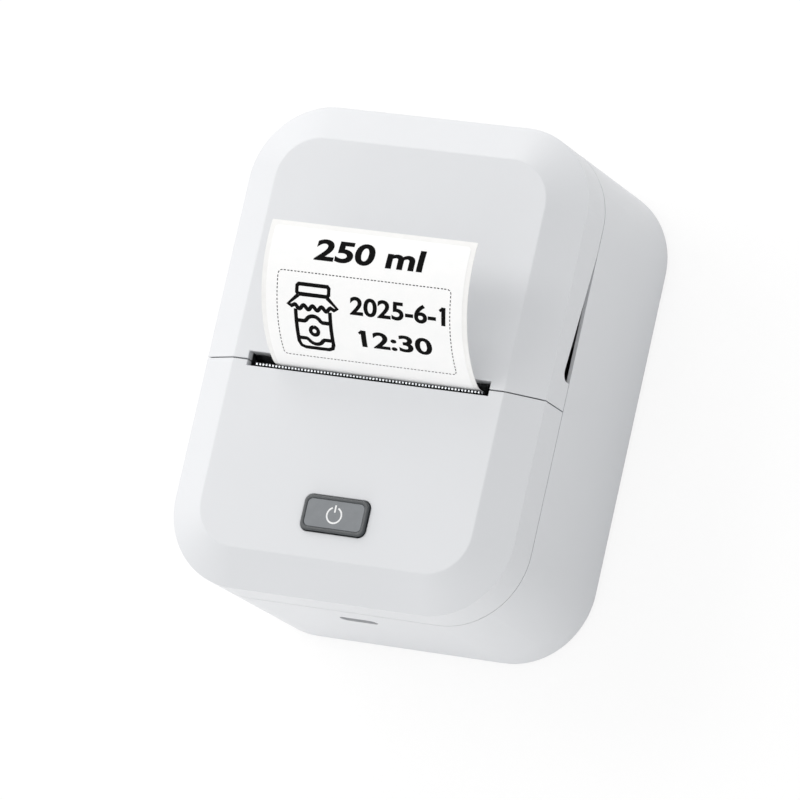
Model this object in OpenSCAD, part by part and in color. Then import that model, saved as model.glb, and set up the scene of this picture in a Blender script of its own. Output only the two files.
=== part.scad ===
// Portable thermal label printer lying on its back: +Z out of the front face,
// -Y the end with the charging port, +Y the end with the lid hinge. Millimetres.

/* [Case] */
// Width of the case
case_w = 83; // [72:1:100]
// Length of the case
case_l = 110; // [104:1:134]
// Depth of the case from its back face to its front face
case_d = 50.7; // [49.2:0.5:62]
// Radius of the four upright corners
corner_r = 18.3; // [14:0.1:20]
// Wall of the rear housing
wall = 2.2; // [1.6:0.1:2.6]
// Wall of the lid and of the front cover
front_wall = 2.0; // [1.6:0.1:2.4]
// Rounding of the back edge
back_round = 1.0; // [1:0.1:4]
// Width of the sloping border round the front panel
slope_w = 8.3; // [4:0.1:12]
// Depth of the sloping border round the front panel
slope_d = 4.0; // [2:0.1:5]
// Depth of the front shells, from the front face to the seam round the case
front_d = 13.6; // [12:0.1:16]
// Open width of the seam round the case
seam = 0.25; // [0.15:0.05:0.5]
// Place of the split between lid and front cover, along the length
split_y = -4.7; // [-8:0.1:0]
// Open width of the split between lid and front cover
split_gap = 0.3; // [0.2:0.05:0.6]
// How far the rubber feet stand out
foot_out = 0.5; // [0.5:0.1:2]
// Radius of a rubber foot
foot_r = 4.5; // [3:0.1:6]

/* [Label slot] */
// Length of the slot
slot_l = 59.2; // [57:0.1:62]
// Reach of the slot into the lid
slot_up = 1.9; // [1:0.1:3]
// Reach of the slot into the front cover
slot_down = 1.4; // [0.8:0.1:2.5]
// Pitch of the tear bar's teeth
tooth_pitch = 0.8; // [0.6:0.1:1.6]
// Height of the tear bar's teeth
tooth_h = 0.7; // [0.4:0.1:1]

/* [Finger notch] */
// Depth of the notch under the lid's rim
notch_h = 3.7; // [2:0.1:5]
// Length of the notch along the side
notch_l = 29; // [15:1:35]

/* [Key] */
// Width of the power key
key_w = 15.6; // [12:0.1:20]
// Length of the power key
key_l = 7.95; // [6:0.05:12]
// Corner radius of the power key
key_r = 1.6; // [0.5:0.1:3]
// Width of the key's dark rim
key_rim_w = 0.85; // [0.6:0.05:2]
// How far the key stands out of the front face
key_out = 0.75; // [0.6:0.05:1.5]
// Key centre, measured from the port end
key_from_end = 18.3; // [16:0.1:26]
// Key travel
key_travel = 0.5; // [0.3:0.05:0.55]

/* [Paper] */
// Width of the label strip
paper_w = 50; // [40:1:53]
// Thickness of the label strip
paper_t = 0.18; // [0.1:0.01:0.3]
// Length of the platen's rubber, the widest strip it takes
platen_l = 54; // [50:1:55]
// Outer radius of the label roll
roll_r = 18.5; // [12:0.1:18.8]
// Bore radius of the roll's core
core_r = 6.3; // [5:0.1:8]
// Wall of the roll's core
core_wall = 1.2; // [0.8:0.1:2]
// Radius of the curl that the hanging label takes
curl_r = 26.5; // [18:0.5:40]
// Turn of the label past the top of its curl, in degrees
curl_past = 9; // [0:1:30]

/* [Drive] */
// Radius of the platen's rubber
platen_r = 3.5; // [3:0.1:3.6]
// Radius of the platen's shaft
shaft_r = 1.5; // [1:0.1:2]
// Gear module
gear_m = 0.5; // [0.4:0.05:0.5]
// Teeth of the platen gear
platen_teeth = 16; // [14:1:18]
// Teeth of the double gear's small wheel
small_teeth = 14; // [13:1:16]
// Teeth of the double gear's large wheel
large_teeth = 40; // [30:1:42]
// Teeth of the motor pinion
pinion_teeth = 12; // [12:1:14]
// Face width of the gears
gear_w = 2.2; // [1.5:0.1:2.4]
// Radius of the stepper motor
motor_r = 9; // [7:0.1:9.5]
// Length of the stepper motor
motor_l = 15; // [10:0.5:20]

/* [Port] */
// Width of the port's steel shell
port_w = 8.94; // [8.94:0.01:9]
// Height of the port's steel shell
port_h = 3.16; // [3.16:0.01:3.2]
// Port centre behind the front face
port_depth = 22; // [19:0.5:26]

/* [Hidden] */

$fn = 64;
eps = 0.02;
run = 0.05;            // radial clearance of a running fit
soft_gap = 0.3;        // clear space between a soft or curved piece and its neighbour

z_back = foot_out;
z_floor = z_back + wall;
z_front = z_back + case_d;
z_seam = z_front - front_d;
z_slope = z_front - slope_d;
z_roof = z_front - front_wall;
half_w = case_w / 2;
half_l = case_l / 2;

// the sloping border's inner face stays parallel to the outer one
slope_tilt = slope_d / slope_w;
slope_drop = front_wall * sqrt(1 + slope_tilt * slope_tilt);
z_slope_in = z_slope + slope_tilt * front_wall - slope_drop;
slope_w_in = (z_roof - z_slope_in) / slope_tilt;

// inner lip of the rear housing, behind the seam
lip_gap = 0.4;
lip_t = 1.2;
lip_h = 4.4;

// lid hinge
hinge_r = 2.3;
hinge_pin_r = 0.9;
hinge_y = half_l - hinge_r - 0.1;
hinge_z = z_seam;
hinge_half = 24;
hinge_relief_half = 33;
knuckle_play = 0.3;
knuckle_inner = 4;
knuckle_outer = 16;

// nip between platen and print head, and the strip's line through it
strip_y = split_y - 0.1;
nip_z = z_front - 7.2;
platen_y = strip_y + paper_t / 2 + soft_gap + platen_r;
head_face_y = strip_y - paper_t / 2 - soft_gap;
strip_low_z = nip_z - 3.6;
strip_bend = 27;
strip_bend_r = 6;
strip_rise_z = z_front - 1.5;
paper_x = 2;

// side plates of the mechanism
plate_t = 1.6;
plate_in = platen_l / 2 + 2.0;
plate_out = plate_in + plate_t;
frame_y0 = platen_y - 21.1;
frame_y1 = platen_y + 4.9;
frame_top = nip_z + 2;

// gears
pressure = 25;
mesh_play = 0.06;
backlash = 0.1;
swing_y = hinge_y - platen_y;
swing_z = nip_z - hinge_z;
swing_len = sqrt(swing_y * swing_y + swing_z * swing_z);
lift = [swing_z / swing_len, swing_y / swing_len];
small_dist = gear_m * (platen_teeth + small_teeth) / 2 + mesh_play;
large_dist = gear_m * (large_teeth + pinion_teeth) / 2 + mesh_play;
double_y = platen_y - small_dist * lift[0];
double_z = nip_z - small_dist * lift[1];
motor_dir = 215;
motor_y = double_y + large_dist * cos(motor_dir);
motor_z = double_z + large_dist * sin(motor_dir);
layer_a = plate_out + 0.3;
layer_b = layer_a + gear_w + 0.4;
gear_pin_r = 1.0;
motor_shaft_r = 1.0;

// label roll
bay_floor_t = 1.2;
bay_in = 30.5;
bay_wall = 1.5;
bay_y0 = platen_y + 6.2;
bay_y1 = hinge_y - hinge_r - 0.8;
bay_top = z_seam - 1.7;
bay_floor = z_floor + bay_floor_t;
roll_y = (bay_y0 + bay_y1) / 2 + 0.3;
roll_z = bay_floor + 2.3 + roll_r;
roll_x0 = paper_x - paper_w / 2;
roll_x1 = paper_x + paper_w / 2;
boss_l = 4;
boss_r = core_r - 0.1;
flange_t = 1.5;
flange_half = 10;
foot_plate_t = 1.2;
foot_plate_l = 9.8;

// power key
key_y = -half_l + key_from_end;
key_clear = 0.2;
key_flange = 1.0;
key_flange_t = 1.0;
key_body_z = z_roof - key_flange_t - 0.05;
key_face_t = 0.9;
key_top = z_front + key_out;
switch_h = 3.5;
switch_w = 6;
key_board_t = 1.2;
key_board_top = z_roof - 5.6;
plunger_r = 1.7;
plunger_top = key_board_top + switch_h + 0.55;
key_board_w = 30;
key_board_l = 12;
key_post_x = 12;

// main board and charging port
port_z = z_front - port_depth;
port_len = 7.3;
port_front = -half_l + 0.8;
board_t = 1.6;
board_top = port_z - port_h / 2 - 0.02;
board_half = 29.5;
board_y0 = -half_l + 2.8;
board_y1 = frame_y0 - 1.5;
board_corner = 9;
board_post = [[26, -half_l + 9.5], [26, board_y1 - 3.5]];

// case screws
tower_r = 3.6;
tower_x = half_w - 7.1;
tower_y = [-half_l + 17, frame_y0 + 1.5];
tower_top = z_seam - 1.6;
case_screw_r = 1.2;
case_head_r = 2.3;
tower_web = 5;

// battery
battery_w = 44;
battery_t = 15;
battery_y0 = -half_l + 3.6;
battery_y1 = frame_y0 - 1.6;

// ---------- shared shapes ----------

module rounded_rect(w, l, r) {
    square([w - 2 * r, l], center = true);
    square([w, l - 2 * r], center = true);
    for (sx = [-1, 1], sy = [-1, 1])
        translate([sx * (w / 2 - r), sy * (l / 2 - r)])
            circle(r);
}

module round_slab(w, l, r, h) {
    linear_extrude(h)
        rounded_rect(w, l, r);
}

// extrudes a profile drawn in (x, z) along Y, centred
module along_y(len) {
    rotate([90, 0, 0])
        linear_extrude(len, center = true)
            children();
}

// extrudes a profile drawn in (y, z) along X, from x0 to x1
module along_x(x0, x1) {
    translate([x0, 0, 0])
        rotate([90, 0, 90])
            linear_extrude(x1 - x0)
                children();
}

// a rod along X
module rod_x(x0, x1, y, z, r) {
    along_x(x0, x1)
        translate([y, z])
            circle(r);
}

// slab whose sides lean in by `inset` over its height
module sloped_slab(w, l, r, inset, h) {
    along_y(l - 2 * r)
        polygon([[-w / 2, 0], [w / 2, 0], [w / 2 - inset, h], [-w / 2 + inset, h]]);
    along_x(-w / 2 + r, w / 2 - r)
        polygon([[-l / 2, 0], [l / 2, 0], [l / 2 - inset, h], [-l / 2 + inset, h]]);
    for (sx = [-1, 1], sy = [-1, 1])
        translate([sx * (w / 2 - r), sy * (l / 2 - r), 0])
            cylinder(h = h, r1 = r, r2 = r - inset);
}

module round_edge_profile(half, h, e) {
    translate([-half, e])
        square([2 * half, h - e]);
    translate([-half + e, 0])
        square([2 * half - 2 * e, e]);
    for (s = [-1, 1])
        translate([s * (half - e), e])
            circle(e);
}

// slab with a rounded lower edge
module dished_slab(w, l, r, h, e) {
    along_y(l - 2 * r)
        round_edge_profile(w / 2, h, e);
    along_x(-w / 2 + r, w / 2 - r)
        round_edge_profile(l / 2, h, e);
    for (sx = [-1, 1], sy = [-1, 1])
        translate([sx * (w / 2 - r), sy * (l / 2 - r), 0])
            rotate_extrude()
                intersection() {
                    round_edge_profile(r, h, e);
                    square([r, h]);
                }
}

// outer and inner shapes of the front shells
module front_outer() {
    translate([0, 0, z_seam + seam])
        round_slab(case_w, case_l, corner_r, z_slope - z_seam - seam);
    translate([0, 0, z_slope])
        sloped_slab(case_w, case_l, corner_r, slope_w, slope_d);
}

module front_inner() {
    w = case_w - 2 * front_wall;
    l = case_l - 2 * front_wall;
    r = corner_r - front_wall;
    translate([0, 0, z_seam - 1])
        round_slab(w, l, r, z_slope_in - z_seam + 1);
    translate([0, 0, z_slope_in])
        sloped_slab(w, l, r, slope_w_in, z_roof - z_slope_in);
}

module front_shell() {
    difference() {
        front_outer();
        front_inner();
    }
}

module y_from(y0) {
    translate([-case_w, y0, 0])
        cube([2 * case_w, 2 * case_l, 3 * case_d]);
}

module y_to(y1) {
    translate([-case_w, y1 - 2 * case_l, 0])
        cube([2 * case_w, 2 * case_l, 3 * case_d]);
}

module screw_down(x, y, z_under, shank_l, shank_r, head_r, head_h) {
    translate([x, y, z_under - shank_l])
        cylinder(h = shank_l + eps, r = shank_r);
    translate([x, y, z_under])
        difference() {
            cylinder(h = head_h, r = head_r);
            translate([0, 0, head_h * 0.45])
                cylinder(h = head_h, r = head_r * 0.45, $fn = 6);
        }
}

// ---------- case ----------

module lip() {
    o = wall + lip_gap - 0.2;
    difference() {
        translate([0, 0, z_seam - 1.6])
            round_slab(case_w - 2 * o, case_l - 2 * o, corner_r - o, lip_h + 1.6);
        translate([0, 0, z_seam - 3])
            round_slab(case_w - 2 * (o + lip_t), case_l - 2 * (o + lip_t), corner_r - o - lip_t, lip_h + 5);
    }
}

module lip_ledge() {
    o = wall - 0.5;
    i = wall + lip_gap - 0.2 + lip_t;
    difference() {
        translate([0, 0, z_seam - 1.6])
            round_slab(case_w - 2 * o, case_l - 2 * o, corner_r - o, 1.4);
        translate([0, 0, z_seam - 3])
            round_slab(case_w - 2 * i, case_l - 2 * i, corner_r - i, 4);
    }
}

module hinge_zone(y0, z0) {
    translate([-hinge_relief_half, y0, z0])
        cube([2 * hinge_relief_half, half_l, lip_h + 8]);
}

module knuckle(x0, x1, bore_r, web_y0, web_y1, web_z0, web_z1) {
    difference() {
        union() {
            rod_x(x0, x1, hinge_y, hinge_z, hinge_r);
            translate([x0, web_y0, web_z0])
                cube([x1 - x0, web_y1 - web_y0, web_z1 - web_z0]);
        }
        rod_x(x0 - 1, x1 + 1, hinge_y, hinge_z, bore_r);
    }
}

module housing_knuckle(x0, x1) {
    knuckle(x0, x1, hinge_pin_r, hinge_y - hinge_r + 0.1, hinge_y - 0.3, hinge_z - 6.5, hinge_z);
    // foot of the knuckle, down on the end wall
    translate([x0, hinge_y - hinge_r + 0.1, hinge_z - 6.5])
        cube([x1 - x0, half_l - wall + 0.4 - hinge_y + hinge_r, 3.2]);
}

module port_outline(w, h) {
    translate([-w / 2 + h / 2, 0])
        circle(h / 2);
    translate([w / 2 - h / 2, 0])
        circle(h / 2);
    square([w - h, h], center = true);
}

module screw_towers() {
    for (sx = [-1, 1], y = tower_y)
        translate([sx * tower_x, y, z_floor - eps])
            cylinder(h = tower_top - z_floor, r = tower_r);
}

module tower_holes() {
    for (sx = [-1, 1], y = tower_y) {
        translate([sx * tower_x, y, z_back - 1])
            cylinder(h = tower_top - tower_web - z_back + 1, r = case_head_r + 0.3);
        translate([sx * tower_x, y, z_back])
            cylinder(h = case_d, r = case_screw_r + 0.2);
    }
}

frame_boss = [[plate_out + 3.4, platen_y - 9], [plate_out + 3.4, platen_y + 1]];
frame_boss_h = 4;
bay_boss = [[bay_in + bay_wall + 3.2, bay_y0 + 10], [bay_in + bay_wall + 3.2, bay_y0 + 31]];
bay_ear_z = z_seam - 8;

module rear_housing() {
    color("whitesmoke")
    difference() {
        union() {
            difference() {
                translate([0, 0, z_back])
                    dished_slab(case_w, case_l, corner_r, z_seam - z_back, back_round);
                translate([0, 0, z_floor])
                    round_slab(case_w - 2 * wall, case_l - 2 * wall, corner_r - wall, case_d);
            }
            difference() {
                union() {
                    lip();
                    lip_ledge();
                }
                hinge_zone(hinge_y - hinge_r - 2.2, z_seam - 4);
            }
            screw_towers();
            for (sx = [-1, 1], p = board_post)
                translate([sx * p[0], p[1], z_floor - eps])
                    cylinder(h = board_top - board_t - z_floor + eps, r = 2.6);
            for (sx = [-1, 1], p = frame_boss)
                translate([sx * p[0], p[1], z_floor - eps])
                    cylinder(h = frame_boss_h + eps, r = 2.6);
            for (sx = [-1, 1], p = bay_boss)
                translate([sx * p[0], p[1], z_floor - eps])
                    cylinder(h = bay_ear_z - z_floor + eps, r = 2.6);
            // ribs that hold the battery
            for (sx = [-1, 1])
                translate([sx * (battery_w / 2 + 1.3) - 1, battery_y0 + 8, z_floor - eps])
                    cube([2, 9, 8]);
        }
        tower_holes();
        // charging port
        translate([0, -half_l + wall / 2, port_z])
            along_y(wall * 2)
                port_outline(port_w + 0.26, port_h + 0.26);
        // seats of the rubber feet
        for (sx = [-1, 1], sy = [-1, 1])
            translate([sx * (half_w - 15), sy * (half_l - 12), z_back - 1])
                cylinder(h = 1.6, r = foot_r + 0.05);
        // pilot holes
        for (sx = [-1, 1], p = board_post)
            translate([sx * p[0], p[1], board_top - board_t - 6])
                cylinder(h = 7, r = 0.9);
        for (sx = [-1, 1], p = frame_boss)
            translate([sx * p[0], p[1], z_floor + 0.4])
                cylinder(h = frame_boss_h, r = 0.9);
        for (sx = [-1, 1], p = bay_boss)
            translate([sx * p[0], p[1], bay_ear_z - 6])
                cylinder(h = 7, r = 0.9);
        // the wall and its lip are thinned behind each finger notch
        for (sx = [-1, 1])
            translate([sx * (half_w - notch_skin - notch_room / 2) - notch_room / 2, notch_y0, z_seam - 3])
                cube([notch_room, notch_l * 0.9, 12]);
        // room for the lid's end wall as it turns
        hinge_zone(hinge_y - 0.3, z_seam - hinge_r - 0.5);
        rod_x(-hinge_half - 0.3, hinge_half + 0.3, hinge_y, hinge_z, hinge_r + 0.3);
    }
    color("whitesmoke")
        for (k = [[-hinge_half, -knuckle_outer], [-knuckle_inner, knuckle_inner], [knuckle_outer, hinge_half]])
            housing_knuckle(k[0], k[1]);
}

module cover_boss() {
    intersection() {
        front_outer();
        for (sx = [-1, 1], y = tower_y)
            translate([sx * tower_x, y, 0])
                cylinder(h = 2 * case_d, r = 3);
    }
    for (sx = [-1, 1], y = tower_y)
        translate([sx * tower_x, y, tower_top])
            cylinder(h = z_seam + 2 - tower_top, r = 3);
}

apron_h = 3.5;
apron_t = 0.6;
module slot_cut(y0, y1) {
    translate([-slot_l / 2, y0, z_roof - 2])
        cube([slot_l, y1 - y0, case_d]);
}

module front_cover() {
    color("whitesmoke")
    difference() {
        union() {
            intersection() {
                front_shell();
                y_to(split_y - split_gap / 2);
            }
            cover_boss();
            // posts of the key board
            for (sx = [-1, 1])
                translate([sx * key_post_x, key_y, key_board_top])
                    cylinder(h = z_roof - key_board_top + eps, r = 2);
        }
        slot_cut(split_y - slot_down, split_y + 1);
        translate([0, key_y, z_roof - 1])
            round_slab(key_w + 2 * key_clear, key_l + 2 * key_clear, key_r + key_clear, front_wall + 2);
        for (sx = [-1, 1], y = tower_y)
            translate([sx * tower_x, y, tower_top - 1])
                cylinder(h = 10, r = case_screw_r);
        for (sx = [-1, 1])
            translate([sx * key_post_x, key_y, key_board_top - 1])
                cylinder(h = 5, r = 0.7);
    }
}

// wedge-shaped finger notch, in (y, z)
notch_y0 = split_y + 6.3;
notch_round = 2.2;
notch_skin = 0.8;
notch_room = wall + 3 - notch_skin;
module notch_shape() {
    difference() {
        polygon([[notch_y0, z_seam - 1], [notch_y0, z_seam + notch_h],
            [notch_y0 + notch_round, z_seam + notch_h],
            [notch_y0 + notch_l, z_seam + seam], [notch_y0 + notch_l, z_seam - 1]]);
        difference() {
            translate([notch_y0 - eps, z_seam + notch_h - notch_round])
                square([notch_round, notch_round + eps]);
            translate([notch_y0 + notch_round, z_seam + notch_h - notch_round])
                circle(notch_round);
        }
    }
}

module lid_cover() {
    color("whitesmoke")
    difference() {
        union() {
            difference() {
                intersection() {
                    front_shell();
                    y_from(split_y + split_gap / 2);
                }
                // the end wall is cut back round the hinge
                rod_x(-hinge_relief_half, hinge_relief_half, hinge_y, hinge_z, hinge_r + 0.4);
                for (sx = [-1, 1])
                    along_x(sx * half_w - 3, sx * half_w + 3)
                        notch_shape();
            }
            for (s = [-1, 1])
                knuckle_pair(s);
            // apron that closes the upper side of the slot in front of the frame
            translate([-slot_l / 2, split_y + slot_up - eps, z_front - apron_h])
                cube([slot_l, apron_t + eps, apron_h - front_wall + eps]);
        }
        slot_cut(split_y - 1, split_y + slot_up);
    }
}

module knuckle_pair(s) {
    a = knuckle_inner + knuckle_play;
    b = knuckle_outer - knuckle_play;
    x0 = s > 0 ? a : -b;
    knuckle(x0, x0 + b - a, hinge_pin_r + run, hinge_y - hinge_r + 0.1, half_l - front_wall + 0.6,
        hinge_z + 0.2, hinge_z + 5);
}

module hinge_pin() {
    color("silver")
        rod_x(-hinge_half, hinge_half, hinge_y, hinge_z, hinge_pin_r);
}

module rubber_feet() {
    color("dimgray")
        for (sx = [-1, 1], sy = [-1, 1])
            translate([sx * (half_w - 15), sy * (half_l - 12), 0])
                cylinder(h = z_back + 0.6, r = foot_r);
}

module case_screws() {
    color("silver")
        for (sx = [-1, 1], y = tower_y)
            translate([sx * tower_x, y, 0])
                mirror([0, 0, 1])
                    screw_down(0, 0, -(tower_top - tower_web), 11, case_screw_r, case_head_r, 2);
}

// ---------- lid frame and platen ----------

bush_r = 2.8;
bush_hub_r = 2.2;
arm_t = 1.4;
arm_in = platen_l / 2 + 0.3;

module lid_frame() {
    color("gray")
    difference() {
        union() {
            translate([-arm_in - arm_t, split_y + slot_up + apron_t, z_roof - 1.4])
                cube([2 * (arm_in + arm_t), 10, 1.4]);
            for (s = [-1, 1])
                along_x(s > 0 ? arm_in : -arm_in - arm_t, s > 0 ? arm_in + arm_t : -arm_in)
                    union() {
                        translate([platen_y, nip_z])
                            circle(bush_hub_r + 0.9);
                        translate([split_y + slot_up + apron_t, nip_z])
                            square([platen_y + 2.8 - split_y - slot_up - apron_t, z_roof - nip_z - eps]);
                    }
        }
        rod_x(-half_w, half_w, platen_y, nip_z, bush_hub_r);
    }
}

module platen_bushes() {
    color("goldenrod")
    difference() {
        for (s = [-1, 1]) {
            rod_x(s > 0 ? arm_in : -arm_in - arm_t, s > 0 ? arm_in + arm_t : -arm_in,
                platen_y, nip_z, bush_hub_r);
            rod_x(s > 0 ? arm_in + arm_t : -plate_out, s > 0 ? plate_out : -arm_in - arm_t,
                platen_y, nip_z, bush_r);
        }
        rod_x(-half_w, half_w, platen_y, nip_z, shaft_r + run);
    }
}

module platen_roller() {
    color("dimgray")
    difference() {
        rod_x(-platen_l / 2, platen_l / 2, platen_y, nip_z, platen_r);
        rod_x(-half_w, half_w, platen_y, nip_z, shaft_r);
    }
}

module platen_shaft() {
    color("silver")
        rod_x(-plate_out - 0.3, layer_a + gear_w, platen_y, nip_z, shaft_r);
}

// ---------- gears ----------

function inv(a) = tan(a) * 180 / PI - a;

// half of a tooth's angle at radius r
function half_tooth(n, m, r) =
    let (rp = n * m / 2, rb = rp * cos(pressure))
    90 / n - backlash / 2 / rp * 180 / PI + inv(pressure) - inv(acos(min(1, rb / r)));

function tooth_points(n, m, i) =
    let (rp = n * m / 2, rb = rp * cos(pressure), rr = rp - 1.2 * m, rt = rp + 0.9 * m,
        r0 = max(rr, rb), steps = 4,
        rs = [for (k = [0 : steps]) r0 + (rt - r0) * k / steps], c = i * 360 / n)
    concat(
        rr < rb ? [[rr * cos(c - half_tooth(n, m, r0)), rr * sin(c - half_tooth(n, m, r0))]] : [],
        [for (r = rs) [r * cos(c - half_tooth(n, m, r)), r * sin(c - half_tooth(n, m, r))]],
        [for (k = [steps : -1 : 0]) [rs[k] * cos(c + half_tooth(n, m, rs[k])),
            rs[k] * sin(c + half_tooth(n, m, rs[k]))]],
        rr < rb ? [[rr * cos(c + half_tooth(n, m, r0)), rr * sin(c + half_tooth(n, m, r0))]] : []
    );

module gear_outline(n, m) {
    polygon([for (i = [0 : n - 1]) each tooth_points(n, m, i)]);
}

// a wheel along X at (y, z), with tooth 0 turned to `phase`
module wheel(n, x0, x1, y, z, phase) {
    along_x(x0, x1)
        translate([y, z])
            rotate(phase)
                gear_outline(n, gear_m);
}

// directions between the gear centres, in the (y, z) plane
dir_up = atan2(lift[1], lift[0]);
dir_down = dir_up + 180;

module platen_gear() {
    color("ivory")
    difference() {
        wheel(platen_teeth, layer_a, layer_a + gear_w, platen_y, nip_z, dir_down);
        rod_x(0, half_w, platen_y, nip_z, shaft_r);
    }
}

module double_gear() {
    color("ivory")
    difference() {
        union() {
            wheel(small_teeth, layer_a, layer_a + gear_w + 0.2, double_y, double_z, dir_up + 180 / small_teeth);
            rod_x(layer_a + gear_w, layer_b + eps, double_y, double_z, gear_m * small_teeth / 2 - 0.8);
            wheel(large_teeth, layer_b, layer_b + gear_w - 0.4, double_y, double_z, motor_dir);
        }
        rod_x(0, half_w, double_y, double_z, gear_pin_r + run);
    }
}

module gear_pin() {
    color("silver") {
        rod_x(plate_in, layer_b + gear_w + 0.1, double_y, double_z, gear_pin_r);
        rod_x(layer_b + gear_w - 0.2, layer_b + gear_w + 0.4, double_y, double_z, gear_pin_r + 0.8);
    }
}

module motor_pinion() {
    color("goldenrod")
    difference() {
        wheel(pinion_teeth, layer_b - 0.1, layer_b + gear_w - 0.3, motor_y, motor_z,
            motor_dir + 180 + 180 / pinion_teeth);
        rod_x(0, half_w, motor_y, motor_z, motor_shaft_r);
    }
}

module motor_shaft() {
    color("silver")
        rod_x(plate_in - motor_l + 3, layer_b + gear_w - 0.1, motor_y, motor_z, motor_shaft_r);
}

motor_lug = motor_r + 3;
module stepper_motor() {
    color("silver")
    difference() {
        union() {
            rod_x(plate_in - motor_l, plate_in - 0.8, motor_y, motor_z, motor_r);
            along_x(plate_in - 0.8, plate_in)
                difference() {
                    union() {
                        translate([motor_y, motor_z])
                            circle(motor_r);
                        translate([motor_y, motor_z])
                            rotate(motor_lug_dir)
                                square([2 * motor_lug, 5], center = true);
                        for (s = [-1, 1])
                            translate([motor_y, motor_z])
                                rotate(motor_lug_dir)
                                    translate([s * motor_lug, 0])
                                        circle(2.5);
                    }
                    for (s = [-1, 1])
                        translate([motor_y, motor_z])
                            rotate(motor_lug_dir)
                                translate([s * motor_lug, 0])
                                    circle(1.1);
                }
        }
        rod_x(plate_in - motor_l + 3, half_w, motor_y, motor_z, motor_shaft_r + run);
    }
}
motor_lug_dir = 122.5;

module motor_screws() {
    color("silver")
        for (s = [-1, 1])
            translate([0, motor_y + s * motor_lug * cos(motor_lug_dir), motor_z + s * motor_lug * sin(motor_lug_dir)]) {
                rod_x(plate_in - 0.8 - eps, plate_out, 0, 0, 1.1);
                rod_x(plate_in - 2.1, plate_in - 0.8, 0, 0, 1.9);
            }
}

// ---------- mechanism frame and print head ----------

head_t = 0.55;
sink_t = 2.2;
head_half = platen_l / 2 - 0.2;
sink_y1 = head_face_y - head_t;
sink_y0 = sink_y1 - sink_t;
sink_z0 = nip_z - 5.4;
head_top = nip_z + 3.4;
pivot_y = sink_y0 + 1.2;
pivot_z = sink_z0 + 1.4;
pivot_r = 1.1;
back_wall_y = sink_y0 - 5;
spring_x = 16;
spring_z = nip_z - 0.5;

module side_plate() {
    difference() {
        polygon([[frame_y0, z_floor], [frame_y1, z_floor], [frame_y1, frame_top],
            [back_wall_y - 1.5, frame_top], [frame_y0, motor_z + 6]]);
        // open notch that takes the platen bush
        translate([platen_y, nip_z])
            circle(bush_r + soft_gap);
        polygon([[platen_y - bush_r - soft_gap, nip_z], [platen_y + bush_r + soft_gap, nip_z],
            [platen_y + bush_r + 1.3, frame_top + 1], [platen_y - bush_r - 0.5, frame_top + 1]]);
        translate([pivot_y, pivot_z])
            circle(pivot_r + run);
        // window over the board and the battery side
        translate([frame_y0 + 7, z_floor + 8])
            square([8, 6]);
    }
}

module frame_foot(s) {
    difference() {
        translate([s > 0 ? plate_out - eps : -frame_boss[0][0] - 3, frame_boss[0][1] - 3.4, z_floor + frame_boss_h])
            cube([frame_boss[0][0] + 3 - plate_out + eps, frame_boss[1][1] - frame_boss[0][1] + 5.4, 1.5]);
        for (p = frame_boss)
            translate([s * p[0], p[1], z_floor])
                cylinder(h = 12, r = 1.2);
    }
}

// what the motor and its lugs take up, with play round them
motor_play = 0.4;
module motor_room() {
    rod_x(plate_in - motor_l - motor_play, plate_in, motor_y, motor_z, motor_r + motor_play);
    along_x(plate_in - 0.8 - motor_play, plate_in)
        translate([motor_y, motor_z])
            rotate(motor_lug_dir)
                square([2 * (motor_lug + 2.5 + motor_play), 5 + 2 * motor_play], center = true);
}

module mech_frame() {
    color("dimgray")
    difference() {
        union() {
            along_x(-plate_out, -plate_in)
                side_plate();
            along_x(plate_in, plate_out)
                side_plate();
            translate([-plate_out, frame_y0, z_floor])
                cube([2 * plate_out, 1.4, 12]);
            difference() {
                translate([-plate_out, back_wall_y - 1.5, sink_z0])
                    cube([2 * plate_out, 1.5, frame_top - sink_z0]);
                motor_room();
            }
            frame_foot(-1);
            frame_foot(1);
        }
        rod_x(plate_in - 1, plate_out + 1, double_y, double_z, gear_pin_r);
        rod_x(plate_in - 1, plate_out + 1, motor_y, motor_z, 2.2);
        for (s = [-1, 1])
            rod_x(plate_in - 1, plate_out + 1, motor_y + s * motor_lug * cos(motor_lug_dir),
                motor_z + s * motor_lug * sin(motor_lug_dir), 1.1);
    }
}

module frame_screws() {
    color("silver")
        for (s = [-1, 1], p = frame_boss)
            screw_down(s * p[0], p[1], z_floor + frame_boss_h + 1.5, 5, 0.9, 1.9, 1.2);
}

module print_head() {
    color("tan")
        translate([-head_half, sink_y1, sink_z0 + 2.4])
            cube([2 * head_half, head_t, head_top - sink_z0 - 2.4]);
}

module heat_sink() {
    color("silver") {
        translate([-head_half, sink_y0, sink_z0])
            cube([2 * head_half, sink_t, head_top - sink_z0]);
        for (s = [-1, 1])
            rod_x(s > 0 ? head_half - 1 : -plate_out, s > 0 ? plate_out : -head_half + 1,
                pivot_y, pivot_z, pivot_r);
    }
}

// coil spring swept along Y from y0 to y1
coil_sides = 8;
coil_steps = 12;
function coil_points(y0, y1, r, wire, turns) =
    [for (k = [0 : turns * coil_steps], j = [0 : coil_sides - 1])
        let (a = k * 360 / coil_steps, b = j * 360 / coil_sides,
            y = y0 + wire + (y1 - y0 - 2 * wire) * k / (turns * coil_steps), q = r + wire * cos(b))
        [q * cos(a), y + wire * sin(b), q * sin(a)]];
function coil_faces(rings) = concat(
    [[for (j = [0 : coil_sides - 1]) j]],
    [for (k = [0 : rings - 2], j = [0 : coil_sides - 1])
        let (a = k * coil_sides + j, b = k * coil_sides + (j + 1) % coil_sides)
        [a, a + coil_sides, b + coil_sides, b]],
    [[for (j = [coil_sides - 1 : -1 : 0]) (rings - 1) * coil_sides + j]]);

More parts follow.
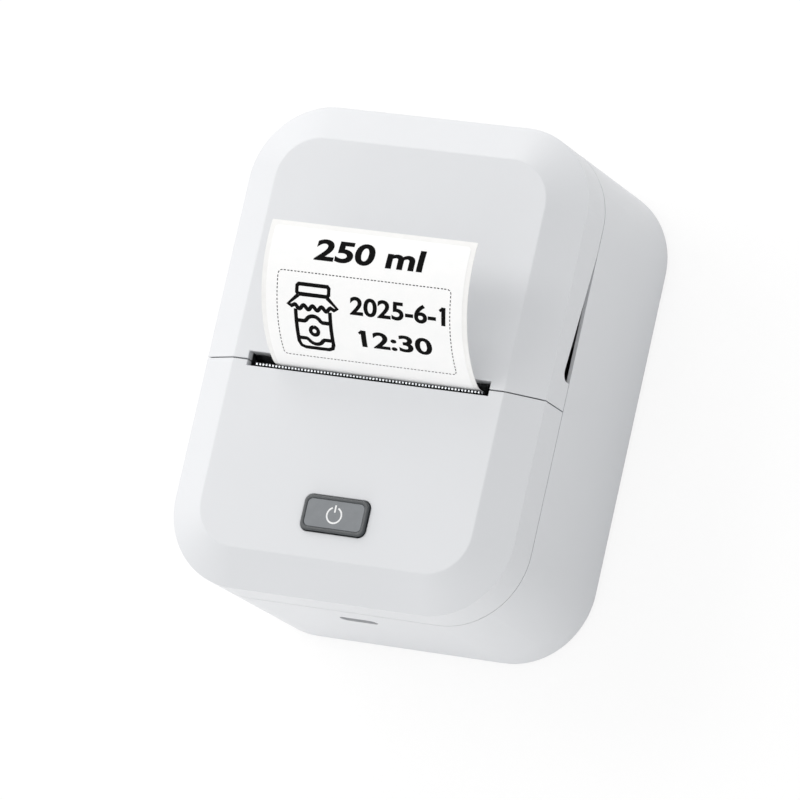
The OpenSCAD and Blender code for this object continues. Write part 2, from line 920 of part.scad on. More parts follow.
module coil_spring(y0, y1, r, wire, turns) {
    polyhedron(coil_points(y0, y1, r, wire, turns), coil_faces(turns * coil_steps + 1));
}

module head_springs() {
    color("silver")
        for (s = [-1, 1])
            translate([s * spring_x, 0, spring_z])
                coil_spring(back_wall_y, sink_y0 - 0.35, 1.8, 0.28, 4);
}

ribbon_t = 0.3;
module head_ribbon() {
    y0 = sink_y0 - 0.6;
    y1 = board_y1 - 1.2;
    z1 = board_top + 1.9;
    color("tan")
        along_x(-18, 4)
            polygon([[y0, sink_z0 - 0.4], [y0, z1 + 5], [y0 - 4, z1], [y1, z1],
                [y1, z1 + ribbon_t], [y0 - 4 - 0.46 * ribbon_t, z1 + ribbon_t],
                [y0 - ribbon_t, z1 + 5 + 0.37 * ribbon_t], [y0 - ribbon_t, sink_z0 - 0.4]]);
    // plug on the main board
    color("tan")
        translate([-19, board_y1 - 5.2, board_top])
            cube([24, 4, 2.2]);
}

// ---------- tear bar ----------

tear_half = 28.2;
tear_t = 0.5;
tear_y1 = strip_y - paper_t / 2 - 0.22;
tear_top = z_front - 0.6;
module tear_bar() {
    n = floor(2 * tear_half / tooth_pitch);
    color("silver") {
        translate([0, tear_y1, 0])
            rotate([90, 0, 0])
                linear_extrude(tear_t)
                    polygon(concat([[-tear_half, z_roof - tear_t], [-tear_half, tear_top - tooth_h]],
                        [for (i = [0 : n - 1]) each [
                            [-n * tooth_pitch / 2 + (i + 0.5) * tooth_pitch, tear_top],
                            [-n * tooth_pitch / 2 + (i + 1) * tooth_pitch - 0.05, tear_top - tooth_h]]],
                        [[tear_half, tear_top - tooth_h], [tear_half, z_roof - tear_t]]));
        translate([-tear_half, tear_y1 - 7, z_roof - tear_t])
            cube([2 * tear_half, 7, tear_t]);
    }
}

// ---------- labels ----------

module arc_band(cy, cz, r, t, a0, a1) {
    far = 3 * r;
    translate([cy, cz])
        intersection() {
            difference() {
                circle(r + t / 2, $fn = 128);
                circle(r - t / 2, $fn = 128);
            }
            polygon([[0, 0], [far * cos(a0), far * sin(a0)],
                [far * cos((a0 + a1) / 2), far * sin((a0 + a1) / 2)], [far * cos(a1), far * sin(a1)]]);
        }
}

bend_end_y = strip_y + strip_bend_r * (1 - cos(strip_bend));
bend_end_z = strip_rise_z + strip_bend_r * sin(strip_bend);
curl_y = bend_end_y + curl_r * cos(strip_bend);
curl_z = bend_end_z - curl_r * sin(strip_bend);
curl_step = 0.02;

module label_strip() {
    color("white")
        along_x(roll_x0, roll_x1) {
            translate([strip_y - paper_t / 2, strip_low_z])
                square([paper_t, strip_rise_z - strip_low_z + eps]);
            arc_band(strip_y + strip_bend_r, strip_rise_z, strip_bend_r, paper_t, 180 - strip_bend - curl_step, 180);
            arc_band(curl_y, curl_z, curl_r, paper_t, 90 - curl_past, 180 - strip_bend + curl_step);
        }
}

// straight run from the roll's underside to just below the nip
feed_y = strip_y;
feed_z = strip_low_z - 0.35;
feed_off = roll_r + soft_gap + paper_t / 2;
to_roll = [roll_y - feed_y, roll_z - feed_z];
to_roll_len = norm(to_roll);
feed_len = sqrt(to_roll_len * to_roll_len - feed_off * feed_off);
feed_dir = atan2(to_roll[1], to_roll[0]) - asin(feed_off / to_roll_len);

module label_feed() {
    color("white")
        along_x(roll_x0, roll_x1)
            translate([feed_y, feed_z])
                rotate(feed_dir)
                    translate([0, -paper_t / 2])
                        square([feed_len + 1.5, paper_t]);
}

module label_roll() {
    color("white")
    difference() {
        rod_x(roll_x0, roll_x1, roll_y, roll_z, roll_r, $fn = 128);
        rod_x(roll_x0 - 1, roll_x1 + 1, roll_y, roll_z, core_r + core_wall);
    }
}

module roll_core() {
    color("burlywood")
    difference() {
        rod_x(roll_x0, roll_x1, roll_y, roll_z, core_r + core_wall);
        rod_x(roll_x0 - 1, roll_x1 + 1, roll_y, roll_z, core_r);
    }
}

// ---------- paper bay ----------

front_wall_h = 15.5;
rail_w = 1.2;
rail_h = 2.2;
rail_x0 = -bay_in;
rail_x1 = -bay_in + 17;
guide_half = flange_half;

module flange_shape() {
    difference() {
        union() {
            translate([roll_y, roll_z])
                circle(flange_half);
            translate([roll_y - flange_half, bay_floor - eps])
                square([2 * flange_half, roll_z - bay_floor]);
        }
        translate([roll_y, roll_z])
            circle(2);
    }
}

module bay_ear(s, p) {
    translate([s > 0 ? bay_in + bay_wall - eps : -p[0] - 2.8, p[1] - 3, bay_ear_z])
        cube([p[0] + 2.8 - bay_in - bay_wall + eps, 6, 1.5]);
}

module paper_bay() {
    color("gray")
    difference() {
        union() {
            translate([-bay_in - bay_wall, bay_y0, z_floor])
                cube([2 * (bay_in + bay_wall), bay_y1 - bay_y0, bay_floor_t]);
            for (s = [-1, 1])
                translate([s > 0 ? bay_in : -bay_in - bay_wall, bay_y0, z_floor])
                    cube([bay_wall, bay_y1 - bay_y0, bay_top - z_floor]);
            translate([-bay_in, bay_y0, z_floor])
                cube([2 * bay_in, bay_wall, front_wall_h]);
            translate([-bay_in, bay_y1 - bay_wall, z_floor])
                cube([2 * bay_in, bay_wall, bay_top - z_floor]);
            // rim that closes the gap to the case
            difference() {
                intersection() {
                    translate([0, 0, bay_top - 1.2])
                        round_slab(case_w - 2 * wall - 0.6, case_l - 2 * wall - 0.6, corner_r - wall - 0.3, 1.2);
                    translate([-half_w, bay_y0 + 5, 0])
                        cube([case_w, bay_y1 - bay_y0 - 5, case_d]);
                }
                translate([-bay_in - eps, 0, 0])
                    cube([2 * bay_in + 2 * eps, case_l, case_d]);
            }
            for (s = [-1, 1], p = bay_boss)
                bay_ear(s, p);
            // fixed flange with the boss that carries the roll's core
            along_x(roll_x1 + soft_gap, roll_x1 + soft_gap + flange_t)
                flange_shape();
            rod_x(roll_x1 + soft_gap - boss_l, roll_x1 + soft_gap + eps, roll_y, roll_z, boss_r);
            for (y = [-1, 1])
                translate([roll_x1 + soft_gap + flange_t - eps, roll_y + y * (flange_half - 1) - 0.6, bay_floor - eps])
                    cube([bay_in - roll_x1 - soft_gap - flange_t + 2 * eps, 1.2, roll_z - bay_floor]);
            // rails of the sliding guide
            for (s = [-1, 1])
                along_x(rail_x0, rail_x1)
                    polygon([
                        [roll_y + s * (guide_half + 0.15), bay_floor - eps],
                        [roll_y + s * (guide_half + 0.15 + rail_w), bay_floor - eps],
                        [roll_y + s * (guide_half + 0.15 + rail_w), bay_floor + rail_h],
                        [roll_y + s * (guide_half - 1.1), bay_floor + rail_h],
                        [roll_y + s * (guide_half - 1.1), bay_floor + foot_plate_t + 0.15],
                        [roll_y + s * (guide_half + 0.15), bay_floor + foot_plate_t + 0.15]]);
        }
        for (s = [-1, 1], p = bay_boss)
            translate([s * p[0], p[1], bay_ear_z - 1])
                cylinder(h = 4, r = 1.1);
    }
}

module bay_screws() {
    color("silver")
        for (s = [-1, 1], p = bay_boss)
            screw_down(s * p[0], p[1], bay_ear_z + 1.5, 6.5, 0.9, 1.9, 1.2);
}

module paper_guide() {
    x1 = roll_x0 - soft_gap;
    color("gray") {
        along_x(x1 - flange_t, x1)
            difference() {
                union() {
                    translate([roll_y, roll_z])
                        circle(flange_half);
                    translate([roll_y - guide_half + 1.4, bay_floor + 0.05])
                        square([2 * guide_half - 2.8, roll_z - bay_floor]);
                }
                translate([roll_y, roll_z])
                    circle(2);
            }
        rod_x(x1 - eps, x1 + boss_l, roll_y, roll_z, boss_r);
        translate([x1 - flange_t, roll_y - guide_half, bay_floor + 0.05])
            cube([foot_plate_l, 2 * guide_half, foot_plate_t - 0.05]);
        // thumb grip on the guide's outer face
        translate([x1 - flange_t - 0.6, roll_y - 4, roll_z + 5])
            cube([0.6 + eps, 8, 3]);
    }
}

module gap_sensor() {
    z0 = z_floor + front_wall_h - 4.2;
    color("black")
        translate([-5, bay_y0 - 2.6, z0])
            cube([10, 2.6, 4]);
    color("silver")
        for (s = [-1, 1])
            rod_y(s * 2.2, z0 + 2.4, bay_y0 - 3.1, bay_y0 - 2.5, 1.1);
}

module rod_y(x, z, y0, y1, r) {
    translate([x, y1, z])
        rotate([90, 0, 0])
            cylinder(h = y1 - y0, r = r);
}

// ---------- power key ----------

module power_key() {
    color("dimgray")
    translate([0, key_y, 0])
        difference() {
            union() {
                translate([0, 0, key_body_z])
                    round_slab(key_w, key_l, key_r, key_top - key_body_z);
                translate([0, 0, key_body_z])
                    round_slab(key_w + 2 * key_flange, key_l + 2 * key_flange, key_r + key_flange, key_flange_t);
                translate([0, 0, plunger_top])
                    cylinder(h = key_body_z - plunger_top + eps, r = 1.5);
            }
            translate([0, 0, key_top - key_face_t])
                round_slab(key_w - 2 * key_rim_w, key_l - 2 * key_rim_w, key_r - key_rim_w / 2, 2);
        }
}

module key_face() {
    color("darkgray")
        translate([0, key_y, key_top - key_face_t])
            round_slab(key_w - 2 * key_rim_w, key_l - 2 * key_rim_w, key_r - key_rim_w / 2, key_face_t - 0.1);
}

module key_plunger() {
    color("black")
        translate([0, key_y, key_board_top + 2.2])
            cylinder(h = plunger_top - key_board_top - 2.2, r = plunger_r);
}

module key_switch() {
    color("silver")
    difference() {
        translate([-switch_w / 2, key_y - switch_w / 2, key_board_top])
            cube([switch_w, switch_w, switch_h]);
        translate([0, key_y, key_board_top + 1.5])
            cylinder(h = switch_h, r = plunger_r + run);
    }
}

module key_board() {
    color("green")
    difference() {
        translate([0, key_y, key_board_top - key_board_t])
            round_slab(key_board_w, key_board_l, 1, key_board_t);
        for (s = [-1, 1])
            translate([s * key_post_x, key_y, 0])
                cylinder(h = case_d, r = 0.9);
    }
}

module key_screws() {
    color("silver")
        for (s = [-1, 1])
            translate([s * key_post_x, key_y, 0])
                mirror([0, 0, 1])
                    screw_down(0, 0, -(key_board_top - key_board_t), key_board_t + 3.5, 0.7, 1.6, 1);
}

module key_ribbon() {
    z1 = key_board_top - key_board_t;
    y0 = key_y + key_board_l / 2 - 1.6;
    // socket under the key board, flat cable down to the socket on the main board
    color("tan") {
        translate([-3.5, y0 - 1, z1 - 1.2])
            cube([7, 2.4, 1.2]);
        translate([-2.5, y0, board_top + 1.5])
            cube([5, ribbon_t, z1 - 1.2 - board_top - 1.5 + eps]);
        translate([-3.5, y0 - 1, board_top])
            cube([7, 2.4, 1.5 + eps]);
    }
}

// ---------- board, port, battery ----------

module main_board() {
    color("green")
    difference() {
        translate([0, (board_y0 + board_y1) / 2, board_top - board_t])
            linear_extrude(board_t)
                union() {
                    rounded_rect(2 * board_half, board_y1 - board_y0, board_corner);
                    translate([-board_half, 0])
                        square([2 * board_half, (board_y1 - board_y0) / 2]);
                }
        for (s = [-1, 1], p = board_post)
            translate([s * p[0], p[1], 0])
                cylinder(h = case_d, r = 1.1);
    }
    // control chip, radio module, driver and storage capacitor
    color("black") {
        translate([-17, key_y - 4, board_top - eps])
            cube([9, 9, 1.2]);
        translate([9, key_y - 4, board_top - eps])
            cube([12, 9, 2.2]);
        translate([13, board_y1 - 6, board_top - eps])
            cube([7, 4, 1.4]);
        translate([-22, board_y0 + 12, board_top - eps])
            cylinder(h = 6, r = 2.5);
    }
}

module board_screws() {
    color("silver")
        for (s = [-1, 1], p = board_post)
            screw_down(s * p[0], p[1], board_top, board_t + 5, 0.9, 1.9, 1.2);
}

module port_shell() {
    color("silver")
    translate([0, port_front + port_len / 2, port_z])
        difference() {
            along_y(port_len)
                port_outline(port_w, port_h);
            translate([0, -0.6, 0])
                along_y(port_len)
                    port_outline(port_w - 0.6, port_h - 0.6);
        }
}

module port_tongue() {
    color("black")
        translate([-3.3, port_front + 1, port_z - 0.35])
            cube([6.6, port_len - 1.6, 0.7]);
}

module battery_pack() {
    h = battery_t;
    color("steelblue")
        translate([-battery_w / 2, 0, 0])
            rotate([90, 0, 90])
                linear_extrude(battery_w)
                    translate([(battery_y0 + battery_y1) / 2, z_floor + h / 2])
                        rounded_rect(battery_y1 - battery_y0, h, 2.5);
}

module battery_leads() {
    // two insulated wires from the pack up to a plug under the board's edge
    x0 = -battery_w / 2 + 4;
    z0 = z_floor + battery_t;
    for (i = [0, 1])
        color(i == 0 ? "red" : "black")
            translate([x0 + 2.2 * i, battery_y1 - 6, z0])
                cylinder(h = board_top - board_t - 2.5 - z0 + eps, r = 0.6, $fn = 24);
    color("white")
        translate([x0 - 1.9, battery_y1 - 8, board_top - board_t - 2.5])
            cube([6, 4, 2.5]);
}

// ---------- the part ----------

rear_housing();
front_cover();
lid_cover();
lid_frame();
hinge_pin();
rubber_feet();
case_screws();
power_key();
key_face();
key_plunger();
key_switch();
key_board();
key_screws();
key_ribbon();
tear_bar();
label_strip();
label_feed();
label_roll();
roll_core();
paper_bay();
bay_screws();
paper_guide();
gap_sensor();
mech_frame();
frame_screws();
print_head();
heat_sink();
head_springs();
head_ribbon();
platen_roller();
platen_shaft();
platen_bushes();
platen_gear();
double_gear();
gear_pin();
motor_pinion();
motor_shaft();
stepper_motor();
motor_screws();
main_board();
board_screws();
port_shell();
port_tongue();
battery_pack();
battery_leads();
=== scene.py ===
"""Looks of a portable thermal label printer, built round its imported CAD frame.

The printer lies on its back: +Z out of its front face, -Y the end with the charging port, +Y the end with the
lid hinge. Everything is in metres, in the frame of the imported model.
"""

import logging
import math
from dataclasses import dataclass, field
from enum import Enum
from typing import Callable

import bmesh
import bpy
from mathutils import Matrix, Vector


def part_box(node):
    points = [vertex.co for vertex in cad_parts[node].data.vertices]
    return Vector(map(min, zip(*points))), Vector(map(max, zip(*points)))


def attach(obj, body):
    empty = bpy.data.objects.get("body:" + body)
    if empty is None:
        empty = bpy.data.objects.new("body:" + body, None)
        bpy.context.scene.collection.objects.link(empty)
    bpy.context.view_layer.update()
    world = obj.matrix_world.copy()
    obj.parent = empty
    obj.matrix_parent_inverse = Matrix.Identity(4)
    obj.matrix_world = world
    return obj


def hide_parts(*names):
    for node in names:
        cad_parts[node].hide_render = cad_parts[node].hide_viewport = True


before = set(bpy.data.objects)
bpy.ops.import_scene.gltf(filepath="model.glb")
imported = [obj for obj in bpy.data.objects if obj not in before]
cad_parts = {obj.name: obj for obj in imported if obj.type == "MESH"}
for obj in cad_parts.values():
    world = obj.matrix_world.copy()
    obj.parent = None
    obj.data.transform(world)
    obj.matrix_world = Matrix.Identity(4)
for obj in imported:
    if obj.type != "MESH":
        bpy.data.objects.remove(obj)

MM = 0.001
FLAT_DEG = 0.03
LOG = logging.getLogger("label_printer")


# ---------- colours and nodes ----------


def linear(colour: str) -> tuple[float, float, float, float]:
    """Turns an sRGB hex colour into linear values.

    Args:
        colour: the colour as "#RRGGBB".

    Returns:
        Red, green, blue and an opacity of 1, in linear light.
    """
    shares = [int(colour[i : i + 2], 16) / 255 for i in (1, 3, 5)]
    values = [c / 12.92 if c <= 0.04045 else ((c + 0.055) / 1.055) ** 2.4 for c in shares]
    return (values[0], values[1], values[2], 1.0)


def add_node(tree: bpy.types.NodeTree, kind: str, settings: dict | None = None, **links: object) -> bpy.types.Node:
    """Adds a node with its settings and links.

    Args:
        tree: the node tree to add to.
        kind: the node's type name.
        settings: values by property name, or by input name or number written as "in:NAME".
        links: output sockets by input name, with spaces written as underscores.

    Returns:
        The new node.
    """
    node = tree.nodes.new(kind)
    for name, value in (settings or {}).items():
        if name.startswith("in:"):
            node.inputs[name[3:]].default_value = value
        else:
            setattr(node, name, value)
    for name, source in links.items():
        tree.links.new(source, node.inputs[name.replace("_", " ")])
    return node


def two_tones(tree: bpy.types.NodeTree, source: object, tones: tuple[str, str], ends: tuple[float, float]) -> object:
    """Turns a 0 to 1 value into a colour between two tones.

    Args:
        tree: the node tree to add to.
        source: the output socket that gives the value.
        tones: the two colours as hex.
        ends: the values at which the first and the second tone are reached.

    Returns:
        The colour output socket.
    """
    ramp = add_node(tree, "ShaderNodeValToRGB", Fac=source)
    for stop, tone, end in zip(ramp.color_ramp.elements, tones, ends):
        stop.position = end
        stop.color = linear(tone)
    return ramp.outputs["Color"]


def spread(tree: bpy.types.NodeTree, source: object, low: float, high: float) -> object:
    """Turns a 0 to 1 value into a value between low and high.

    Args:
        tree: the node tree to add to.
        source: the output socket that gives the value.
        low: the result at 0.
        high: the result at 1.

    Returns:
        The value's output socket.
    """
    settings = {"in:To Min": low, "in:To Max": high}
    return add_node(tree, "ShaderNodeMapRange", settings, Value=source).outputs["Result"]


# ---------- finishes ----------


class Axis(Enum):
    """The axis that a pattern is set out along."""

    X = "X"
    Y = "Y"
    Z = "Z"


@dataclass(frozen=True)
class Finish:
    """A surface: two close tones in soft patches, with a fine grain. The other finishes add their own pattern."""

    name: str
    tones: tuple[str, str]
    roughness: float = 0.5
    roughness_play: float = 0.05
    patch_mm: float = 12.0
    grain_mm: float = 0.35
    grain_depth_mm: float = 0.004
    metallic: float = 0.0
    ior: float = 1.5
    coat: float = 0.0
    specular: float = 0.5
    stretch: tuple[float, float, float] = (1.0, 1.0, 1.0)
    centre: tuple[float, float, float] = (0.0, 0.0, 0.0)

    def material(self) -> bpy.types.Material:
        """Makes the material once and then gives it again.

        Returns:
            The finished material.
        """
        made = bpy.data.materials.get(self.name)
        if made is not None:
            return made
        made = bpy.data.materials.new(self.name)
        made.use_nodes = True
        tree = made.node_tree
        shader = tree.nodes["Principled BSDF"]
        shader.inputs["Metallic"].default_value = self.metallic
        shader.inputs["IOR"].default_value = self.ior
        shader.inputs["Coat Weight"].default_value = self.coat
        shader.inputs["Specular IOR Level"].default_value = self.specular
        self.dress(tree, shader)
        made.diffuse_color = linear(self.tones[0])
        return made

    def coordinates(self, tree: bpy.types.NodeTree) -> object:
        """Gives the object coordinates, centred and stretched.

        Args:
            tree: the node tree to add to.

        Returns:
            The vector output socket.
        """
        place = add_node(tree, "ShaderNodeTexCoord").outputs["Object"]
        settings = {"in:Location": [-c * s for c, s in zip(self.centre, self.stretch)], "in:Scale": self.stretch}
        return add_node(tree, "ShaderNodeMapping", settings, Vector=place).outputs["Vector"]

    def noise(self, tree: bpy.types.NodeTree, size_mm: float, detail: float = 2.0) -> object:
        """Adds a soft noise of one patch size.

        Args:
            tree: the node tree to add to.
            size_mm: the width of one patch in millimetres.
            detail: how many finer layers the noise has.

        Returns:
            The noise's value output socket.
        """
        settings = {"in:Scale": 1 / (size_mm * MM), "in:Detail": detail}
        return add_node(tree, "ShaderNodeTexNoise", settings, Vector=self.coordinates(tree)).outputs["Fac"]

    def dress(self, tree: bpy.types.NodeTree, shader: bpy.types.Node) -> None:
        """Links colour, roughness and bump.

        Args:
            tree: the material's node tree.
            shader: its Principled shader.
        """
        tree.links.new(self.colour(tree), shader.inputs["Base Color"])
        height = self.height(tree)
        play = self.roughness_play
        rough = spread(tree, height, max(0.02, self.roughness - play), self.roughness + play)
        tree.links.new(rough, shader.inputs["Roughness"])
        settings = {"in:Strength": 1.0, "in:Distance": self.grain_depth_mm * MM}
        bump = add_node(tree, "ShaderNodeBump", settings, Height=height)
        tree.links.new(bump.outputs["Normal"], shader.inputs["Normal"])

    def colour(self, tree: bpy.types.NodeTree) -> object:
        """Gives the colour: the two tones in soft patches."""
        return two_tones(tree, self.noise(tree, self.patch_mm), self.tones, (0.3, 0.7))

    def height(self, tree: bpy.types.NodeTree) -> object:
        """Gives the height of the fine grain, from 0 to 1."""
        return self.noise(tree, self.grain_mm, 3.0)


@dataclass(frozen=True)
class Banded(Finish):
    """A surface with even bands across one axis, such as the conductors of a flat cable."""

    band_mm: float = 1.0
    across: Axis = Axis.X

    def bands(self, tree: bpy.types.NodeTree) -> object:
        """Adds the bands.

        Args:
            tree: the node tree to add to.

        Returns:
            The output socket of their value, from 0 to 1.
        """
        settings = {
            "wave_type": "BANDS",
            "bands_direction": self.across.value,
            "in:Scale": math.tau / 20 / (self.band_mm * MM),
        }
        return add_node(tree, "ShaderNodeTexWave", settings, Vector=self.coordinates(tree)).outputs["Fac"]

    def colour(self, tree: bpy.types.NodeTree) -> object:
        """Gives the first tone between the bands and the second on them."""
        return two_tones(tree, self.bands(tree), self.tones, (0.45, 0.6))

    def height(self, tree: bpy.types.NodeTree) -> object:
        """Gives the bands as low ridges."""
        return self.bands(tree)


@dataclass(frozen=True)
class Wound(Finish):
    """Paper wound in turns about an axis along X: fine rings on the ends of the roll."""

    turn_mm: float = 0.9

    def rings(self, tree: bpy.types.NodeTree) -> object:
        """Adds the rings.

        Args:
            tree: the node tree to add to.

        Returns:
            The output socket of their value, from 0 to 1.
        """
        settings = {
            "wave_type": "RINGS",
            "rings_direction": "X",
            "in:Scale": math.tau / 20 / (self.turn_mm * MM),
            "in:Distortion": 0.6,
            "in:Detail": 1.0,
        }
        return add_node(tree, "ShaderNodeTexWave", settings, Vector=self.coordinates(tree)).outputs["Fac"]

    def colour(self, tree: bpy.types.NodeTree) -> object:
        """Gives the paper's two tones, turn by turn."""
        return two_tones(tree, self.rings(tree), self.tones, (0.1, 0.8))

    def height(self, tree: bpy.types.NodeTree) -> object:
        """Gives the turns as low ridges."""
        return self.rings(tree)


@dataclass(frozen=True)
class Stepped(Finish):
    """A piece whose part above a level has another colour, such as the second of two leads."""

    level_mm: float = 0.0
    along: Axis = Axis.Z
    upper: str = "#202124"

    def lower(self, tree: bpy.types.NodeTree) -> object:
        """Gives the colour below the level: the two tones in soft patches."""
        return super().colour(tree)

    def colour(self, tree: bpy.types.NodeTree) -> object:
        """Gives the lower colour below the level and the upper colour above it."""
        place = add_node(tree, "ShaderNodeTexCoord").outputs["Object"]
        axes = add_node(tree, "ShaderNodeSeparateXYZ", Vector=place)
        above = add_node(tree, "ShaderNodeMath", {"operation": "GREATER_THAN"})
        tree.links.new(axes.outputs[self.along.value], above.inputs[0])
        above.inputs[1].default_value = self.level_mm * MM
        mix = add_node(tree, "ShaderNodeMixRGB", {"in:Color2": linear(self.upper)}, Fac=above.outputs["Value"])
        tree.links.new(self.lower(tree), mix.inputs["Color1"])
        return mix.outputs["Color"]


@dataclass(frozen=True)
class Circuit(Stepped):
    """A circuit board: solder mask with tracks, and components above it."""

    cell_mm: float = 2.2

    def lower(self, tree: bpy.types.NodeTree) -> object:
        """Gives the tracks under the solder mask."""
        tracks = add_node(
            tree,
            "ShaderNodeTexBrick",
            {
                "offset": 0.37,
                "squash": 0.6,
                "squash_frequency": 3,
                "in:Color1": linear(self.tones[0]),
                "in:Color2": linear(self.tones[0]),
                "in:Mortar": linear(self.tones[1]),
                "in:Scale": 1 / (self.cell_mm * MM),
                "in:Mortar Size": 0.09,
                "in:Mortar Smooth": 0.3,
                "in:Brick Width": 1.4,
                "in:Row Height": 0.5,
            },
            Vector=self.coordinates(tree),
        )
        return tracks.outputs["Color"]


WHITE_TONES = ("#DEE0E3", "#DCDEE1")
# ABS moulded in a lightly spark-eroded tool: an even satin white, with a grain that is felt more than seen.
WHITE_ABS = Finish("white_abs_satin", WHITE_TONES, 0.42, 0.06, 30.0, 0.45, 0.003, ior=1.53)
# PC/ABS moulded in charcoal, for a key's rim: satin, so its rounded edge shows a soft light line.
CHARCOAL_ABS = Finish("charcoal_abs_rim", ("#424649", "#3E4245"), 0.34, 0.05, 6.0, 0.3, 0.003, ior=1.55)
# Silver-grey lacquer over ABS: an even mid grey with very fine flakes.
GREY_LACQUER = Finish("grey_lacquer_key", ("#7C8084", "#777B7F"), 0.38, 0.07, 2.0, 0.12, 0.002, ior=1.5)
# White screen ink: flat and matt.
WHITE_INK = Finish("white_screen_ink", ("#F4F5F5", "#EEEFF0"), 0.6, 0.05, 1.0, 0.1, 0.001)
# Black PC/ABS of inner carriers: matt, with a coarse spark grain.
BLACK_ABS = Finish("black_abs_carrier", ("#1E1F21", "#242628"), 0.55, 0.08, 8.0, 0.5, 0.012, ior=1.55)
# Light grey ABS of the paper bay: satin, with a fine spark grain.
GREY_ABS = Finish("light_grey_abs_bay", ("#B9BCC0", "#B3B6BA"), 0.48, 0.06, 10.0, 0.4, 0.006, ior=1.53)
# Grey glass-filled nylon of the lid frame: matt, with faint flow marks along its length.
GREY_NYLON = Finish("grey_nylon_frame", ("#3A3D40", "#44474A"), 0.5, 0.08, 3.0, 0.4, 0.01, stretch=(0.15, 1, 1))
# Stamped stainless strip, ground along its length: long fine streaks and a bright, soft reflection.
# Below a level just under the teeth it is near black, and above that level, on the teeth, it is bright.
STAINLESS = Stepped("stainless_ground_strip", ("#161618", "#1E1E20"), 0.3, 0.1, 1.5, 0.12, 0.004, 1.0,
                    stretch=(0.03, 1, 1), level_mm=50.18, upper="#E3E5E7")
# Turned steel of pins and shafts: fine rings round the axis and a tight highlight.
TURNED_STEEL = Finish("turned_steel_shaft", ("#BFC1C4", "#A9ACAF"), 0.22, 0.08, 1.2, 0.1, 0.003, 1.0,
                      stretch=(1, 0.05, 0.05))
# Zinc-plated screws: bluish grey, slightly uneven.
ZINC_STEEL = Finish("zinc_plated_steel", ("#AEB3B8", "#989DA3"), 0.3, 0.1, 1.0, 0.2, 0.004, 1.0)
# Spring wire: dark drawn steel.
SPRING_STEEL = Finish("drawn_spring_wire", ("#8E9194", "#7C7F83"), 0.28, 0.08, 0.8, 0.15, 0.003, 1.0)
# Extruded aluminium, clear anodised: dull and brushed along its length.
ALUMINIUM = Finish("anodised_aluminium_brushed", ("#B9BCBF", "#ADB0B4"), 0.4, 0.12, 2.0, 0.15, 0.006, 1.0,
                   stretch=(0.04, 1, 1))
# Glazed alumina of the heater strip: cream, glossy, with a darker line of heaters along it.
CERAMIC = Banded("glazed_alumina_head", ("#C9B48C", "#5A4A38"), 0.18, 0.03, 6.0, 0.4, 0.001, coat=0.4,
                 band_mm=4.4, across=Axis.Z)
# Silicone rubber, ground to size: dark and quite matt, with fine grinding rings.
PLATEN_RUBBER = Finish("ground_silicone_rubber", ("#2B2C2E", "#343538"), 0.62, 0.08, 2.0, 0.18, 0.01,
                       stretch=(1, 0.1, 0.1))
# Moulded rubber feet: grey-black, with a dusty bloom.
FOOT_RUBBER = Finish("moulded_foot_rubber", ("#4A4C4F", "#56585B"), 0.7, 0.1, 3.0, 0.3, 0.02)
# Natural POM gears: milky white and waxy.
POM = Finish("natural_pom_gear", ("#E4E0D4", "#DAD6CA"), 0.32, 0.06, 2.0, 0.25, 0.004, ior=1.48)
# POM in black for bushes.
POM_BLACK = Finish("black_pom_bush", ("#26272A", "#2E3033"), 0.34, 0.06, 2.0, 0.25, 0.004, ior=1.48)
# Hobbed brass pinion: yellow, with a bright cut surface.
BRASS = Finish("hobbed_brass_pinion", ("#C9A45A", "#B89048"), 0.28, 0.08, 0.8, 0.1, 0.004, 1.0)
# Deep-drawn steel can with nickel plating: soft reflections and drawing marks along its depth.
MOTOR_CAN = Finish("drawn_nickel_can", ("#B4B6B8", "#9EA1A4"), 0.3, 0.1, 3.0, 0.2, 0.006, 1.0, stretch=(0.1, 1, 1))
# Thermal label stock: bright white face, softly calendered.
LABEL_PAPER = Finish("thermal_label_face", ("#FFFFFF", "#FCFDFD"), 0.58, 0.05, 3.0, 0.25, 0.003, ior=1.45)
# Glassine liner under the labels: a slightly grey, smooth release paper.
LINER_PAPER = Finish("glassine_liner", ("#F7F7F6", "#F3F3F2"), 0.42, 0.06, 2.0, 0.3, 0.003, ior=1.47)
# Label stock wound on its core: its turns show as fine rings on the ends. The real turns are too fine
# to show, so they are drawn five times as coarse.
WOUND_PAPER = Wound("wound_label_stock", ("#F9F9F8", "#E6E6E3"), 0.55, 0.05, 3.0, 0.3, 0.02,
                    centre=(0.002, 0.027695, 0.0247))
# Grey-brown cardboard core, spirally glued.
KRAFT = Banded("spiral_kraft_core", ("#B08A5E", "#9C774D"), 0.75, 0.05, 2.0, 0.3, 0.02, stretch=(1, 0.3, 0.3),
               band_mm=6.0)
# Black heat-drawn print: slightly soft-edged, matt.
THERMAL_BLACK = Finish("thermal_print_black", ("#020202", "#040404"), 0.7, 0.05, 0.6, 0.1, 0.001, specular=0.08)
# Fibreglass board under green solder mask: darker tracks under a thin gloss, black components on top.
MAIN_BOARD = Circuit("green_solder_mask_board", ("#1F6B43", "#2F8556"), 0.3, 0.06, 4.0, 0.6, 0.01, coat=0.3,
                     level_mm=27.75)
KEY_BOARD = Circuit("green_solder_mask_key_board", ("#1F6B43", "#2F8556"), 0.3, 0.06, 4.0, 0.6, 0.01, coat=0.3,
                    level_mm=60.0)
# Flat flexible cable: white film with the grey conductors showing through.
FLAT_CABLE = Banded("flat_flexible_cable", ("#E8E6DF", "#B9B6AC"), 0.35, 0.05, 2.0, 0.3, 0.02, band_mm=1.0)
# Polyimide ribbon: amber film over copper conductors.
POLYIMIDE = Banded("polyimide_ribbon", ("#C0762B", "#8A4E1B"), 0.3, 0.05, 2.0, 0.3, 0.015, coat=0.3, band_mm=1.0)
